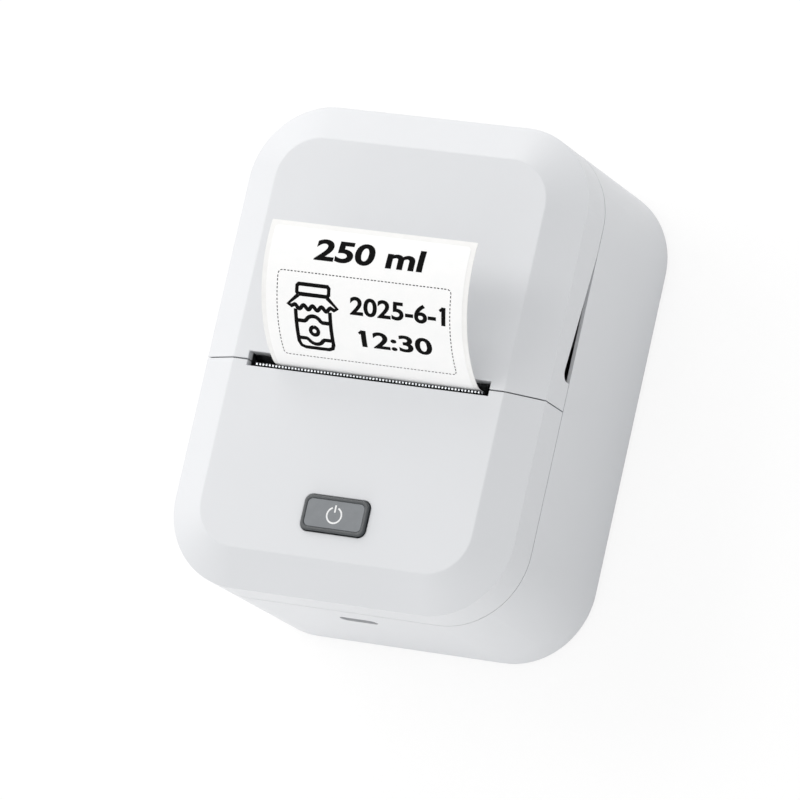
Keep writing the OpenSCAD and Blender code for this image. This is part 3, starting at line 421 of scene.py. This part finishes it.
# Aluminised pouch of the battery: silver film with slack creases.
POUCH = Finish("aluminised_battery_pouch", ("#A9B3BD", "#8F9AA5"), 0.34, 0.1, 9.0, 5.0, 0.25, 0.6)
# PVC insulation of the battery leads: red, turning to black on the second lead.
LEADS = Stepped("pvc_battery_leads", ("#B3261E", "#B3261E"), 0.4, 0.05, 4.0, 0.6, 0.01, level_mm=-16.9,
                along=Axis.X, upper="#1B1B1D")
# Deep-drawn nickel-plated shell of the charging port.
PORT_NICKEL = Finish("nickel_port_shell", ("#9A9DA1", "#85888C"), 0.3, 0.08, 1.5, 0.15, 0.004, 1.0)
# Black LCP moulding of the port's tongue and the tact switch.
BLACK_LCP = Finish("black_lcp_moulding", ("#151618", "#1C1D20"), 0.45, 0.08, 2.0, 0.2, 0.006)


# ---------- meshes ----------


def node_copy(name: str) -> bmesh.types.BMesh:
    """Copies a CAD node's mesh, with its doubles merged and its flat faces joined.

    Args:
        name: the CAD node's name.

    Returns:
        The copy.
    """
    shape = bmesh.new()
    shape.from_mesh(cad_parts[name].data)
    bmesh.ops.remove_doubles(shape, verts=shape.verts, dist=0.002 * MM)
    bmesh.ops.dissolve_limit(shape, angle_limit=math.radians(FLAT_DEG), verts=shape.verts, edges=shape.edges)
    bmesh.ops.recalc_face_normals(shape, faces=shape.faces)
    return shape


def round_edges(shape: bmesh.types.BMesh, width_mm: float, keep: Callable[[Vector], bool], segments: int = 2) -> None:
    """Rounds the sharp outer edges of a shape.

    Args:
        shape: the shape to change.
        width_mm: how wide the rounding is.
        keep: tells whether a point lies where edges are rounded.
        segments: how many steps the rounding has.
    """
    sharp = [
        edge
        for edge in shape.edges
        if edge.is_manifold
        and edge.calc_face_angle_signed(0.0) > math.radians(15)
        and all(keep(vert.co) for vert in edge.verts)
    ]
    bmesh.ops.bevel(
        shape,
        geom=sharp,
        offset=width_mm * MM,
        offset_type="OFFSET",
        segments=segments,
        profile=0.5,
        affect="EDGES",
        clamp_overlap=True,
        loop_slide=True,
        material=-1,
    )


def finish_piece(
    name: str,
    shape: bmesh.types.BMesh,
    body: str,
    finish: Finish,
    stands_for: tuple[str, ...] = (),
    sharp_deg: float = 32.0,
) -> bpy.types.Object:
    """Turns a shape into a piece that rides on a body.

    Args:
        name: the piece's name.
        shape: the shape, which is freed.
        body: the CAD body it rides on.
        finish: its finish.
        stands_for: the CAD nodes that it replaces.
        sharp_deg: the angle from which an edge stays sharp. Below 32, flat faces also keep their flat
            shading beside rounded edges.

    Returns:
        The new object.
    """
    for face in shape.faces:
        face.smooth = True
    mesh = bpy.data.meshes.new(name)
    shape.to_mesh(mesh)
    shape.free()
    mesh.set_sharp_from_angle(angle=math.radians(sharp_deg))
    mesh.materials.append(finish.material())
    piece = bpy.data.objects.new(name, mesh)
    bpy.context.scene.collection.objects.link(piece)
    if sharp_deg < 32:
        normals = piece.modifiers.new("even_normals", "WEIGHTED_NORMAL")
        normals.keep_sharp = True
    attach(piece, body)
    if stands_for:
        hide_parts(*stands_for)
    LOG.info("%s: %d faces", name, len(mesh.polygons))
    return piece


def flat_mesh(source: bpy.types.Object) -> bmesh.types.BMesh:
    """Turns a text or curve object into a shape, and removes the object.

    Args:
        source: the text or curve object.

    Returns:
        Its shape.
    """
    bpy.context.scene.collection.objects.link(source)
    bpy.context.view_layer.update()
    shape = bmesh.new()
    evaluated = source.evaluated_get(bpy.context.evaluated_depsgraph_get())
    shape.from_mesh(evaluated.to_mesh())
    evaluated.to_mesh_clear()
    bpy.data.objects.remove(source)
    return shape


def stroke(lines: list[list[tuple[float, float]]], width_mm: float, closed: bool = False) -> bmesh.types.BMesh:
    """Draws lines of one width, in millimetres, as a flat tube.

    Args:
        lines: each line's points.
        width_mm: the line's width.
        closed: whether each line joins its own start.

    Returns:
        The lines as a shape in the XY plane, in millimetres.
    """
    curve = bpy.data.curves.new("stroke", "CURVE")
    curve.dimensions = "3D"
    curve.bevel_depth = width_mm / 2
    curve.bevel_resolution = 1
    curve.use_fill_caps = True
    for points in lines:
        spline = curve.splines.new("POLY")
        spline.points.add(len(points) - 1)
        for point, (x, y) in zip(spline.points, points):
            point.co = (x, y, 0.0, 1.0)
        spline.use_cyclic_u = closed
    shape = flat_mesh(bpy.data.objects.new("stroke", curve))
    bmesh.ops.remove_doubles(shape, verts=shape.verts, dist=0.0001)
    return shape


def arc(centre: tuple[float, float], radius: float, start: float, end: float, steps: int = 24) -> list:
    """Gives points on an arc.

    Args:
        centre: its centre.
        radius: its radius.
        start: its first angle, in degrees.
        end: its last angle, in degrees.
        steps: how many parts it has.

    Returns:
        The points, as (x, y) pairs.
    """
    angles = [math.radians(start + (end - start) * i / steps) for i in range(steps + 1)]
    return [(centre[0] + radius * math.cos(a), centre[1] + radius * math.sin(a)) for a in angles]


def lettering(words: str, height_mm: float, weight: float, slant: float = 0.0) -> bmesh.types.BMesh:
    """Writes plain characters, in millimetres, from the origin along X.

    Args:
        words: what is written.
        height_mm: the height of a capital or a figure.
        weight: how much each stroke is thickened, as a share of the size.
        slant: how far the characters lean.

    Returns:
        The characters as a flat shape.
    """
    text = bpy.data.curves.new("lettering", "FONT")
    text.body = words
    text.size = height_mm / 0.73
    text.offset = weight * text.size
    text.shear = slant
    text.resolution_u = 6
    return flat_mesh(bpy.data.objects.new("lettering", text))


def fit_width(shape: bmesh.types.BMesh, x0: float, x1: float, y0: float) -> None:
    """Sets a flat shape between two places, on a base line.

    Args:
        shape: the shape to move and widen.
        x0: its left end.
        x1: its right end.
        y0: its base line.
    """
    xs = [vert.co.x for vert in shape.verts]
    share = (x1 - x0) / (max(xs) - min(xs))
    bmesh.ops.scale(shape, vec=(share, 1, 1), verts=shape.verts)
    bmesh.ops.translate(shape, vec=(x0 - min(xs) * share, y0, 0), verts=shape.verts)


def rounded_plate(x0: float, x1: float, y0: float, y1: float, radius: float) -> bmesh.types.BMesh:
    """Makes a flat plate with round corners.

    Args:
        x0: its left side.
        x1: its right side.
        y0: its lower side.
        y1: its upper side.
        radius: its corner radius.

    Returns:
        The plate as one face in the XY plane.
    """
    shape = bmesh.new()
    bmesh.ops.create_grid(shape, x_segments=1, y_segments=1, size=0.5)
    bmesh.ops.scale(shape, vec=(x1 - x0, y1 - y0, 1), verts=shape.verts)
    bmesh.ops.translate(shape, vec=((x0 + x1) / 2, (y0 + y1) / 2, 0), verts=shape.verts)
    bmesh.ops.bevel(
        shape, geom=shape.verts[:], offset=radius, segments=8, profile=0.5, affect="VERTICES", material=-1
    )
    return shape


def slice_across(shape: bmesh.types.BMesh, low: float, high: float, step: float) -> None:
    """Cuts a flat shape at even places along Y, so that it can bend.

    Args:
        shape: the shape to cut.
        low: the first place.
        high: the last place.
        step: the distance between cuts.
    """
    count = int((high - low) / step)
    for i in range(1, count):
        geometry = shape.verts[:] + shape.edges[:] + shape.faces[:]
        bmesh.ops.bisect_plane(shape, geom=geometry, plane_co=(0, low + i * step, 0), plane_no=(0, 1, 0))


# ---------- the printer ----------


@dataclass
class SubAssembly:
    """A group of pieces: some are CAD nodes with a finish, and some are made here."""

    finishes: dict[str, Finish] = field(default_factory=dict)

    def dress(self) -> None:
        """Gives each CAD node that stays its finish."""
        for name, finish in self.finishes.items():
            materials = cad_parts[name].data.materials
            materials.clear()
            materials.append(finish.material())
            LOG.info("%s: %s", name, finish.name)

    def build(self) -> None:
        """Makes the pieces of its own. Some groups have none."""


@dataclass
class Case(SubAssembly):
    """Rear housing, front cover and lid, with their feet, screws and hinge pin."""

    edge_mm: float = 0.22
    foot_edge_mm: float = 0.25
    roof_mm: float = 2.0
    sharp_deg: float = 16.0
    skin_mm: float = 0.05

    def __post_init__(self) -> None:
        """Sets the finishes of the nodes that stay."""
        self.finishes = {"case_screws": ZINC_STEEL, "hinge_pin": TURNED_STEEL}

    def build(self) -> None:
        """Makes the three shells and the feet, and rounds the edges of the front cover, the lid and the feet."""
        for name, body in (("front_cover", "base"), ("lid_cover", "lid")):
            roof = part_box(name)[1].z - self.roof_mm * MM
            shape = node_copy(name)
            round_edges(shape, self.edge_mm, lambda p, roof=roof: p.z > roof + self.skin_mm * MM, 3)
            finish_piece(name + "_moulding", shape, body, WHITE_ABS, (name,), self.sharp_deg)
        shape = node_copy("rear_housing")
        finish_piece("rear_housing_moulding", shape, "base", WHITE_ABS, ("rear_housing",), self.sharp_deg)
        shape = node_copy("rubber_feet")
        round_edges(shape, self.foot_edge_mm, lambda p: p.z < self.skin_mm * MM)
        finish_piece("rubber_feet_moulding", shape, "base", FOOT_RUBBER, ("rubber_feet",))


@dataclass
class PowerKey(SubAssembly):
    """The power key: a rounded charcoal rim, a grey face plate and its sign."""

    rim_edge_mm: float = 0.3
    face_edge_mm: float = 0.12
    ring_radius_mm: float = 1.75
    line_mm: float = 0.38
    ring_gap_deg: float = 23.0
    ink_mm: float = 0.02

    def __post_init__(self) -> None:
        """Sets the finishes of the nodes that stay."""
        self.finishes = {"key_plunger": BLACK_ABS, "key_switch": BLACK_LCP, "key_screws": ZINC_STEEL}

    def build(self) -> None:
        """Makes the rim, the face plate and the power sign."""
        low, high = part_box("power_key")
        shape = node_copy("power_key")
        round_edges(shape, self.rim_edge_mm, lambda p: p.z > high.z - 0.2 * MM, 3)
        finish_piece("power_key_rim", shape, "key", CHARCOAL_ABS, ("power_key",), 31.0)
        face_low, face_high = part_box("key_face")
        shape = node_copy("key_face")
        round_edges(shape, self.face_edge_mm, lambda p: p.z > face_high.z - 0.05 * MM)
        finish_piece("power_key_face", shape, "key", GREY_LACQUER, ("key_face",), 31.0)
        centre = (face_low + face_high) / 2
        half_gap = self.ring_gap_deg
        ring = arc((0, 0), self.ring_radius_mm, 90 + half_gap, 450 - half_gap, 40)
        tick = [(0.0, 0.35 * self.ring_radius_mm), (0.0, 1.3 * self.ring_radius_mm)]
        sign = stroke([ring, tick], self.line_mm)
        bmesh.ops.scale(sign, vec=(MM, MM, 0.1 * MM), verts=sign.verts)
        move = (centre.x, centre.y - 0.1 * MM, face_high.z + self.ink_mm * MM)
        bmesh.ops.translate(sign, vec=move, verts=sign.verts)
        finish_piece("power_sign", sign, "key", WHITE_INK)


@dataclass
class HangingLabel(SubAssembly):
    """The label strip that curls up out of the slot, on its liner, with its print."""

    strip_t_mm: float = 0.18
    bend_deg: float = 27.0
    bend_r_mm: float = 6.0
    curl_r_mm: float = 26.5
    margin_mm: float = 1.15
    face_t_mm: float = 0.05
    ink_t_mm: float = 0.02
    step_mm: float = 0.8
    border: tuple[float, float, float, float] = (-19.15, 22.95, 2.4, 22.4)
    dash_mm: float = 0.6
    dash_gap_mm: float = 0.25
    dash_line_mm: float = 0.2
    icon_line_mm: float = 0.92
    flag_line_mm: float = 0.62
    corner_mm: float = 1.0

    def __post_init__(self) -> None:
        """Works out the curl from the strip's own box."""
        low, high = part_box("label_strip")
        self.x0 = low.x / MM
        self.x1 = high.x / MM
        self.line_y = low.y / MM + self.strip_t_mm / 2
        bend = math.radians(self.bend_deg)
        self.curl_y = self.line_y + self.bend_r_mm * (1 - math.cos(bend)) + self.curl_r_mm * math.cos(bend)
        self.curl_z = high.z / MM - self.strip_t_mm / 2 - self.curl_r_mm
        self.rise_z = self.curl_z + (self.curl_r_mm - self.bend_r_mm) * math.sin(bend)
        self.bend_l = self.bend_r_mm * bend
        self.low_s = -self.bend_l - (self.rise_z - low.z / MM)
        self.end_s = self.curl_r_mm * math.radians(180 - self.bend_deg - 81)

    def place(self, x: float, s: float, lift: float) -> Vector:
        """Places a point of the flat strip on the hanging one.

        Args:
            x: across the strip, in millimetres.
            s: along the strip from the end of its tight bend, in millimetres.
            lift: above the middle of its thickness, in millimetres.

        Returns:
            The point in metres.
        """
        if s < -self.bend_l:
            return Vector((x, self.line_y - lift, self.rise_z + s + self.bend_l)) * MM
        turned = math.radians(self.bend_deg) * min(0.0, s) / self.bend_l
        angle = math.radians(180 - self.bend_deg) - turned - max(0.0, s) / self.curl_r_mm
        tight = s < 0
        radius = (self.bend_r_mm if tight else self.curl_r_mm) + lift
        y = self.line_y + self.bend_r_mm if tight else self.curl_y
        z = self.rise_z if tight else self.curl_z
        return Vector((x, y + radius * math.cos(angle), z + radius * math.sin(angle))) * MM

    def lay(self, shape: bmesh.types.BMesh, lift: float) -> None:
        """Bends a flat shape in millimetres onto the hanging strip.

        Args:
            shape: the flat shape: X across, Y along, Z above the surface.
            lift: how far above the middle of the strip it lies.
        """
        for vert in shape.verts:
            vert.co = self.place(vert.co.x, vert.co.y, lift + vert.co.z)

    def sheet(self, name: str, bounds: tuple[float, float, float, float], radius: float, lift: float,
              thick: float, finish: Finish, stands_for: tuple[str, ...] = ()) -> None:
        """Makes one layer of the strip.

        Args:
            name: the piece's name.
            bounds: its sides across and along, in millimetres.
            radius: its corner radius.
            lift: its underside above the middle of the strip.
            thick: its thickness.
            finish: its finish.
            stands_for: the CAD nodes that it replaces.
        """
        shape = rounded_plate(bounds[0], bounds[1], bounds[2], bounds[3], radius)
        slice_across(shape, bounds[2], bounds[3], self.step_mm)
        geometry = bmesh.ops.extrude_face_region(shape, geom=shape.faces[:])["geom"]
        top = [part for part in geometry if isinstance(part, bmesh.types.BMVert)]
        bmesh.ops.translate(shape, vec=(0, 0, thick), verts=top)
        self.lay(shape, lift)
        bmesh.ops.recalc_face_normals(shape, faces=shape.faces)
        finish_piece(name, shape, "lid", finish, stands_for)

    def ink(self, name: str, shape: bmesh.types.BMesh) -> None:
        """Prints a flat shape on the label.

        Args:
            name: the piece's name.
            shape: the flat shape in millimetres.
        """
        ys = [vert.co.y for vert in shape.verts]
        slice_across(shape, min(ys), max(ys), self.step_mm)
        bmesh.ops.scale(shape, vec=(1, 1, 0.05), verts=shape.verts)
        self.lay(shape, self.strip_t_mm / 2 + self.face_t_mm + self.ink_t_mm)
        finish_piece(name, shape, "lid", THERMAL_BLACK)

    def dashes(self) -> list[list[tuple[float, float]]]:
        """Gives the dashes of the border, with rounded corners left to the dashes themselves."""
        x0, x1, y0, y1 = self.border
        r = 1.0
        path = (
            arc((x1 - r, y0 + r), r, -90, 0, 6)
            + arc((x1 - r, y1 - r), r, 0, 90, 6)
            + arc((x0 + r, y1 - r), r, 90, 180, 6)
            + arc((x0 + r, y0 + r), r, 180, 270, 6)
        )
        path.append(path[0])
        fine = []
        for (ax, ay), (bx, by) in zip(path, path[1:]):
            parts = max(1, round(math.hypot(bx - ax, by - ay) / 0.1))
            fine += [(ax + (bx - ax) * i / parts, ay + (by - ay) * i / parts) for i in range(parts)]
        pitch = self.dash_mm + self.dash_gap_mm
        lines, travelled, line = [], 0.0, []
        for (ax, ay), (bx, by) in zip(fine, fine[1:]):
            if travelled % pitch < self.dash_mm:
                line.append((ax, ay))
            elif len(line) > 1:
                lines.append([line[0], line[len(line) // 2], line[-1]] if len(line) > 2 else line)
                line = []
            else:
                line = []
            travelled += math.hypot(bx - ax, by - ay)
        return lines

    def jar(self) -> list[list[tuple[float, float]]]:
        """Gives the lines of a plain preserving jar with a cloth cover and a label."""
        lid = [(-13.9, 17.6), (-14.3, 18.0), (-14.3, 19.4), (-13.9, 19.8), (-6.9, 19.8), (-6.5, 19.4),
               (-6.5, 18.0), (-6.9, 17.6), (-13.9, 17.6)]
        hem = [(-14.8 + 0.2 * i, 14.75 + 0.45 * math.cos(math.radians(360 * 0.2 * i / 2.2))) for i in range(45)]
        cloth = [(-13.9, 17.4), (-16.4, 15.2), (-15.6, 14.8)] + hem + [(-5.2, 14.8), (-4.4, 15.2), (-6.9, 17.4)]
        glass = [(-14.6, 14.2), (-14.6, 6.4), (-14.2, 5.4), (-13.2, 5.0), (-7.6, 5.0), (-6.6, 5.4), (-6.2, 6.4),
                 (-6.2, 14.2)]
        band_top = [(-14.6, 11.6), (-12.6, 11.6)] + arc((-10.4, 10.9), 2.0, 150, 30, 8) + [
            (-8.2, 11.6), (-6.2, 11.6)]
        band_low = [(-14.6, 7.4), (-12.6, 7.4)] + arc((-10.4, 8.1), 2.0, 210, 330, 8) + [(-8.2, 7.4), (-6.2, 7.4)]
        fruit = arc((-10.4, 9.4), 0.95, 90, 450, 16)
        return [lid, cloth, glass, band_top, band_low, fruit]

    def build(self) -> None:
        """Makes the liner, the label on it and the print."""
        half = self.strip_t_mm / 2
        whole = (self.x0, self.x1, self.low_s, self.end_s)
        self.sheet("label_liner", whole, 0.2, -half, self.strip_t_mm, LINER_PAPER, ("label_strip",))
        inner = (self.x0 + self.margin_mm, self.x1 - self.margin_mm, self.low_s + 1.0, self.end_s - self.margin_mm)
        self.sheet("label_face", inner, self.corner_mm, half, self.face_t_mm, LABEL_PAPER)
        heading = lettering("250 ml", 4.6, 0.03, 0.05)
        fit_width(heading, -11.0, 15.7, 25.5)
        self.ink("print_heading", heading)
        date = lettering("2025-6-1", 4.0, 0.026)
        fit_width(date, -1.3, 21.9, 14.5)
        self.ink("print_date", date)
        hour = lettering("12:30", 4.0, 0.026)
        fit_width(hour, 1.0, 18.2, 7.1)
        self.ink("print_time", hour)
        flags = [[(20.45, 17.55), (21.3, 18.25)], [(0.55, 10.15), (1.4, 10.85)]]
        self.ink("print_flags_of_one", stroke(flags, self.flag_line_mm))
        self.ink("print_border", stroke(self.dashes(), self.dash_line_mm))
        self.ink("print_jar", stroke(self.jar(), self.icon_line_mm))


@dataclass
class PaperFeed(SubAssembly):
    """Roll, core, paper bay, sliding guide and gap sensor."""

    def __post_init__(self) -> None:
        """Sets the finishes."""
        self.finishes = {
            "label_roll": WOUND_PAPER,
            "roll_core": KRAFT,
            "label_feed": LINER_PAPER,
            "paper_bay": GREY_ABS,
            "paper_guide": GREY_NYLON,
            "bay_screws": ZINC_STEEL,
            "gap_sensor": BLACK_LCP,
        }


@dataclass
class PrintUnit(SubAssembly):
    """Print head on its heat sink, springs, platen, frames and tear bar."""

    def __post_init__(self) -> None:
        """Sets the finishes."""
        self.finishes = {
            "print_head": CERAMIC,
            "heat_sink": ALUMINIUM,
            "head_springs": SPRING_STEEL,
            "head_ribbon": POLYIMIDE,
            "mech_frame": BLACK_ABS,
            "frame_screws": ZINC_STEEL,
            "lid_frame": GREY_NYLON,
            "platen_roller": PLATEN_RUBBER,
            "platen_shaft": TURNED_STEEL,
            "platen_bushes": POM_BLACK,
            "tear_bar": STAINLESS,
        }


@dataclass
class Drive(SubAssembly):
    """Stepper motor and gear train."""

    def __post_init__(self) -> None:
        """Sets the finishes."""
        self.finishes = {
            "stepper_motor": MOTOR_CAN,
            "motor_shaft": TURNED_STEEL,
            "motor_pinion": BRASS,
            "motor_screws": ZINC_STEEL,
            "double_gear": POM,
            "gear_pin": TURNED_STEEL,
            "platen_gear": POM,
        }


@dataclass
class Electronics(SubAssembly):
    """Boards, charging port, battery and cables."""

    def __post_init__(self) -> None:
        """Sets the finishes."""
        self.finishes = {
            "main_board": MAIN_BOARD,
            "board_screws": ZINC_STEEL,
            "key_board": KEY_BOARD,
            "key_ribbon": FLAT_CABLE,
            "port_shell": PORT_NICKEL,
            "port_tongue": BLACK_LCP,
            "battery_pack": POUCH,
            "battery_leads": LEADS,
        }


# ---------- the studio ----------


@dataclass
class Studio:
    """Camera, floor, lamps and background."""

    camera_place: tuple[float, float, float] = (0.68809, -0.28734, 1.39054)
    right: tuple[float, float, float] = (0.88826061, 0.21569339, -0.40554833)
    up: tuple[float, float, float] = (-0.11538316, 0.95935906, 0.25752071)
    back: tuple[float, float, float] = (0.44461198, -0.18195206, 0.87704825)
    lens_mm: float = 317.25
    sensor_mm: float = 36.0
    ambient: float = 0.725
    floor_gap_mm: float = 0.05
    lamp_size: float = 0.6
    lamp_colour: str = "#FFFDFB"
    lamps: tuple[tuple[str, tuple[float, float, float], float], ...] = (
        ("lamp_upper_left", (-0.9, 0.35, 1.1), 4.2),
        ("lamp_low_left", (-1.3, 0.0, 0.4), 1.7),
        ("lamp_by_the_lid", (-0.5, 1.1, 0.6), 3.1),
        ("lamp_by_the_corner", (-1.0, 0.8, 0.35), 1.8),
        ("lamp_by_the_port", (-0.2, -1.3, 0.12), 4.6),
    )

    def set_camera(self) -> None:
        """Makes the camera at the viewing angle."""
        data = bpy.data.cameras.new("camera")
        data.lens = self.lens_mm
        data.sensor_width = self.sensor_mm
        data.clip_start = 0.05
        data.clip_end = 20.0
        camera = bpy.data.objects.new("camera", data)
        axes = Matrix((self.right, self.up, self.back)).transposed().to_4x4()
        camera.matrix_world = Matrix.Translation(self.camera_place) @ axes
        bpy.context.scene.collection.objects.link(camera)
        bpy.context.scene.camera = camera

    def set_floor(self) -> None:
        """Makes the plain pale floor that the feet stand on."""
        mesh = bpy.data.meshes.new("floor")
        shape = bmesh.new()
        bmesh.ops.create_grid(shape, x_segments=1, y_segments=1, size=3.0)
        shape.to_mesh(mesh)
        shape.free()
        floor = bpy.data.objects.new("floor", mesh)
        bpy.context.scene.collection.objects.link(floor)
        paint = bpy.data.materials.new("floor_white_paint")
        paint.use_nodes = True
        tree = paint.node_tree
        shader = tree.nodes["Principled BSDF"]
        shader.inputs["Base Color"].default_value = linear("#FBFBFB")
        shader.inputs["Roughness"].default_value = 0.9
        shader.inputs["Specular IOR Level"].default_value = 0.1
        glow = add_node(tree, "ShaderNodeEmission", {"in:Color": (1, 1, 1, 1), "in:Strength": 1.03})
        rays = add_node(tree, "ShaderNodeLightPath")
        share = spread(tree, rays.outputs["Is Camera Ray"], 0.0, 0.8)
        blend = add_node(tree, "ShaderNodeMixShader", None, Fac=share)
        tree.links.new(shader.outputs["BSDF"], blend.inputs[1])
        tree.links.new(glow.outputs["Emission"], blend.inputs[2])
        tree.links.new(blend.outputs["Shader"], tree.nodes["Material Output"].inputs["Surface"])
        mesh.materials.append(paint)
        floor.location.z = -self.floor_gap_mm * MM

    def set_world(self) -> None:
        """Sets a white background and an even ambient light."""
        world = bpy.data.worlds.new("studio")
        bpy.context.scene.world = world
        world.use_nodes = True
        tree = world.node_tree
        rays = add_node(tree, "ShaderNodeLightPath")
        seen = add_node(tree, "ShaderNodeMath", {"operation": "MAXIMUM"})
        tree.links.new(rays.outputs["Is Camera Ray"], seen.inputs[0])
        tree.links.new(rays.outputs["Is Glossy Ray"], seen.inputs[1])
        seen_too = add_node(tree, "ShaderNodeMath", {"operation": "MAXIMUM"})
        tree.links.new(seen.outputs["Value"], seen_too.inputs[0])
        tree.links.new(rays.outputs["Is Transmission Ray"], seen_too.inputs[1])
        strength = spread(tree, seen_too.outputs["Value"], self.ambient, 1.0)
        tree.links.new(strength, tree.nodes["Background"].inputs["Strength"])
        tree.nodes["Background"].inputs["Color"].default_value = (1, 1, 1, 1)

    def add_lamp(self, name: str, place: tuple[float, float, float], watts: float) -> None:
        """Adds a square area lamp that faces the printer.

        Args:
            name: the lamp's name.
            place: where it hangs, in metres.
            watts: its power.
        """
        data = bpy.data.lights.new(name, "AREA")
        data.size = self.lamp_size
        data.energy = watts
        data.color = linear(self.lamp_colour)[:3]
        lamp = bpy.data.objects.new(name, data)
        lamp.location = place
        lamp.rotation_euler = (Vector((0, 0, 0.03)) - Vector(place)).to_track_quat("-Z", "Y").to_euler()
        bpy.context.scene.collection.objects.link(lamp)

    def build(self) -> None:
        """Sets up the whole studio."""
        bpy.context.scene.view_settings.view_transform = "Standard"
        self.set_camera()
        self.set_floor()
        self.set_world()
        for name, place, watts in self.lamps:
            self.add_lamp(name, place, watts)


def main() -> None:
    """Builds the studio and the printer, group by group."""
    logging.basicConfig(level=logging.INFO, format="%(name)s: %(message)s")
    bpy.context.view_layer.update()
    Studio().build()
    for group in (Case(), PowerKey(), HangingLabel(), PaperFeed(), PrintUnit(), Drive(), Electronics()):
        LOG.info("building %s", type(group).__name__)
        group.dress()
        group.build()


if __name__ == "__main__":
    main()
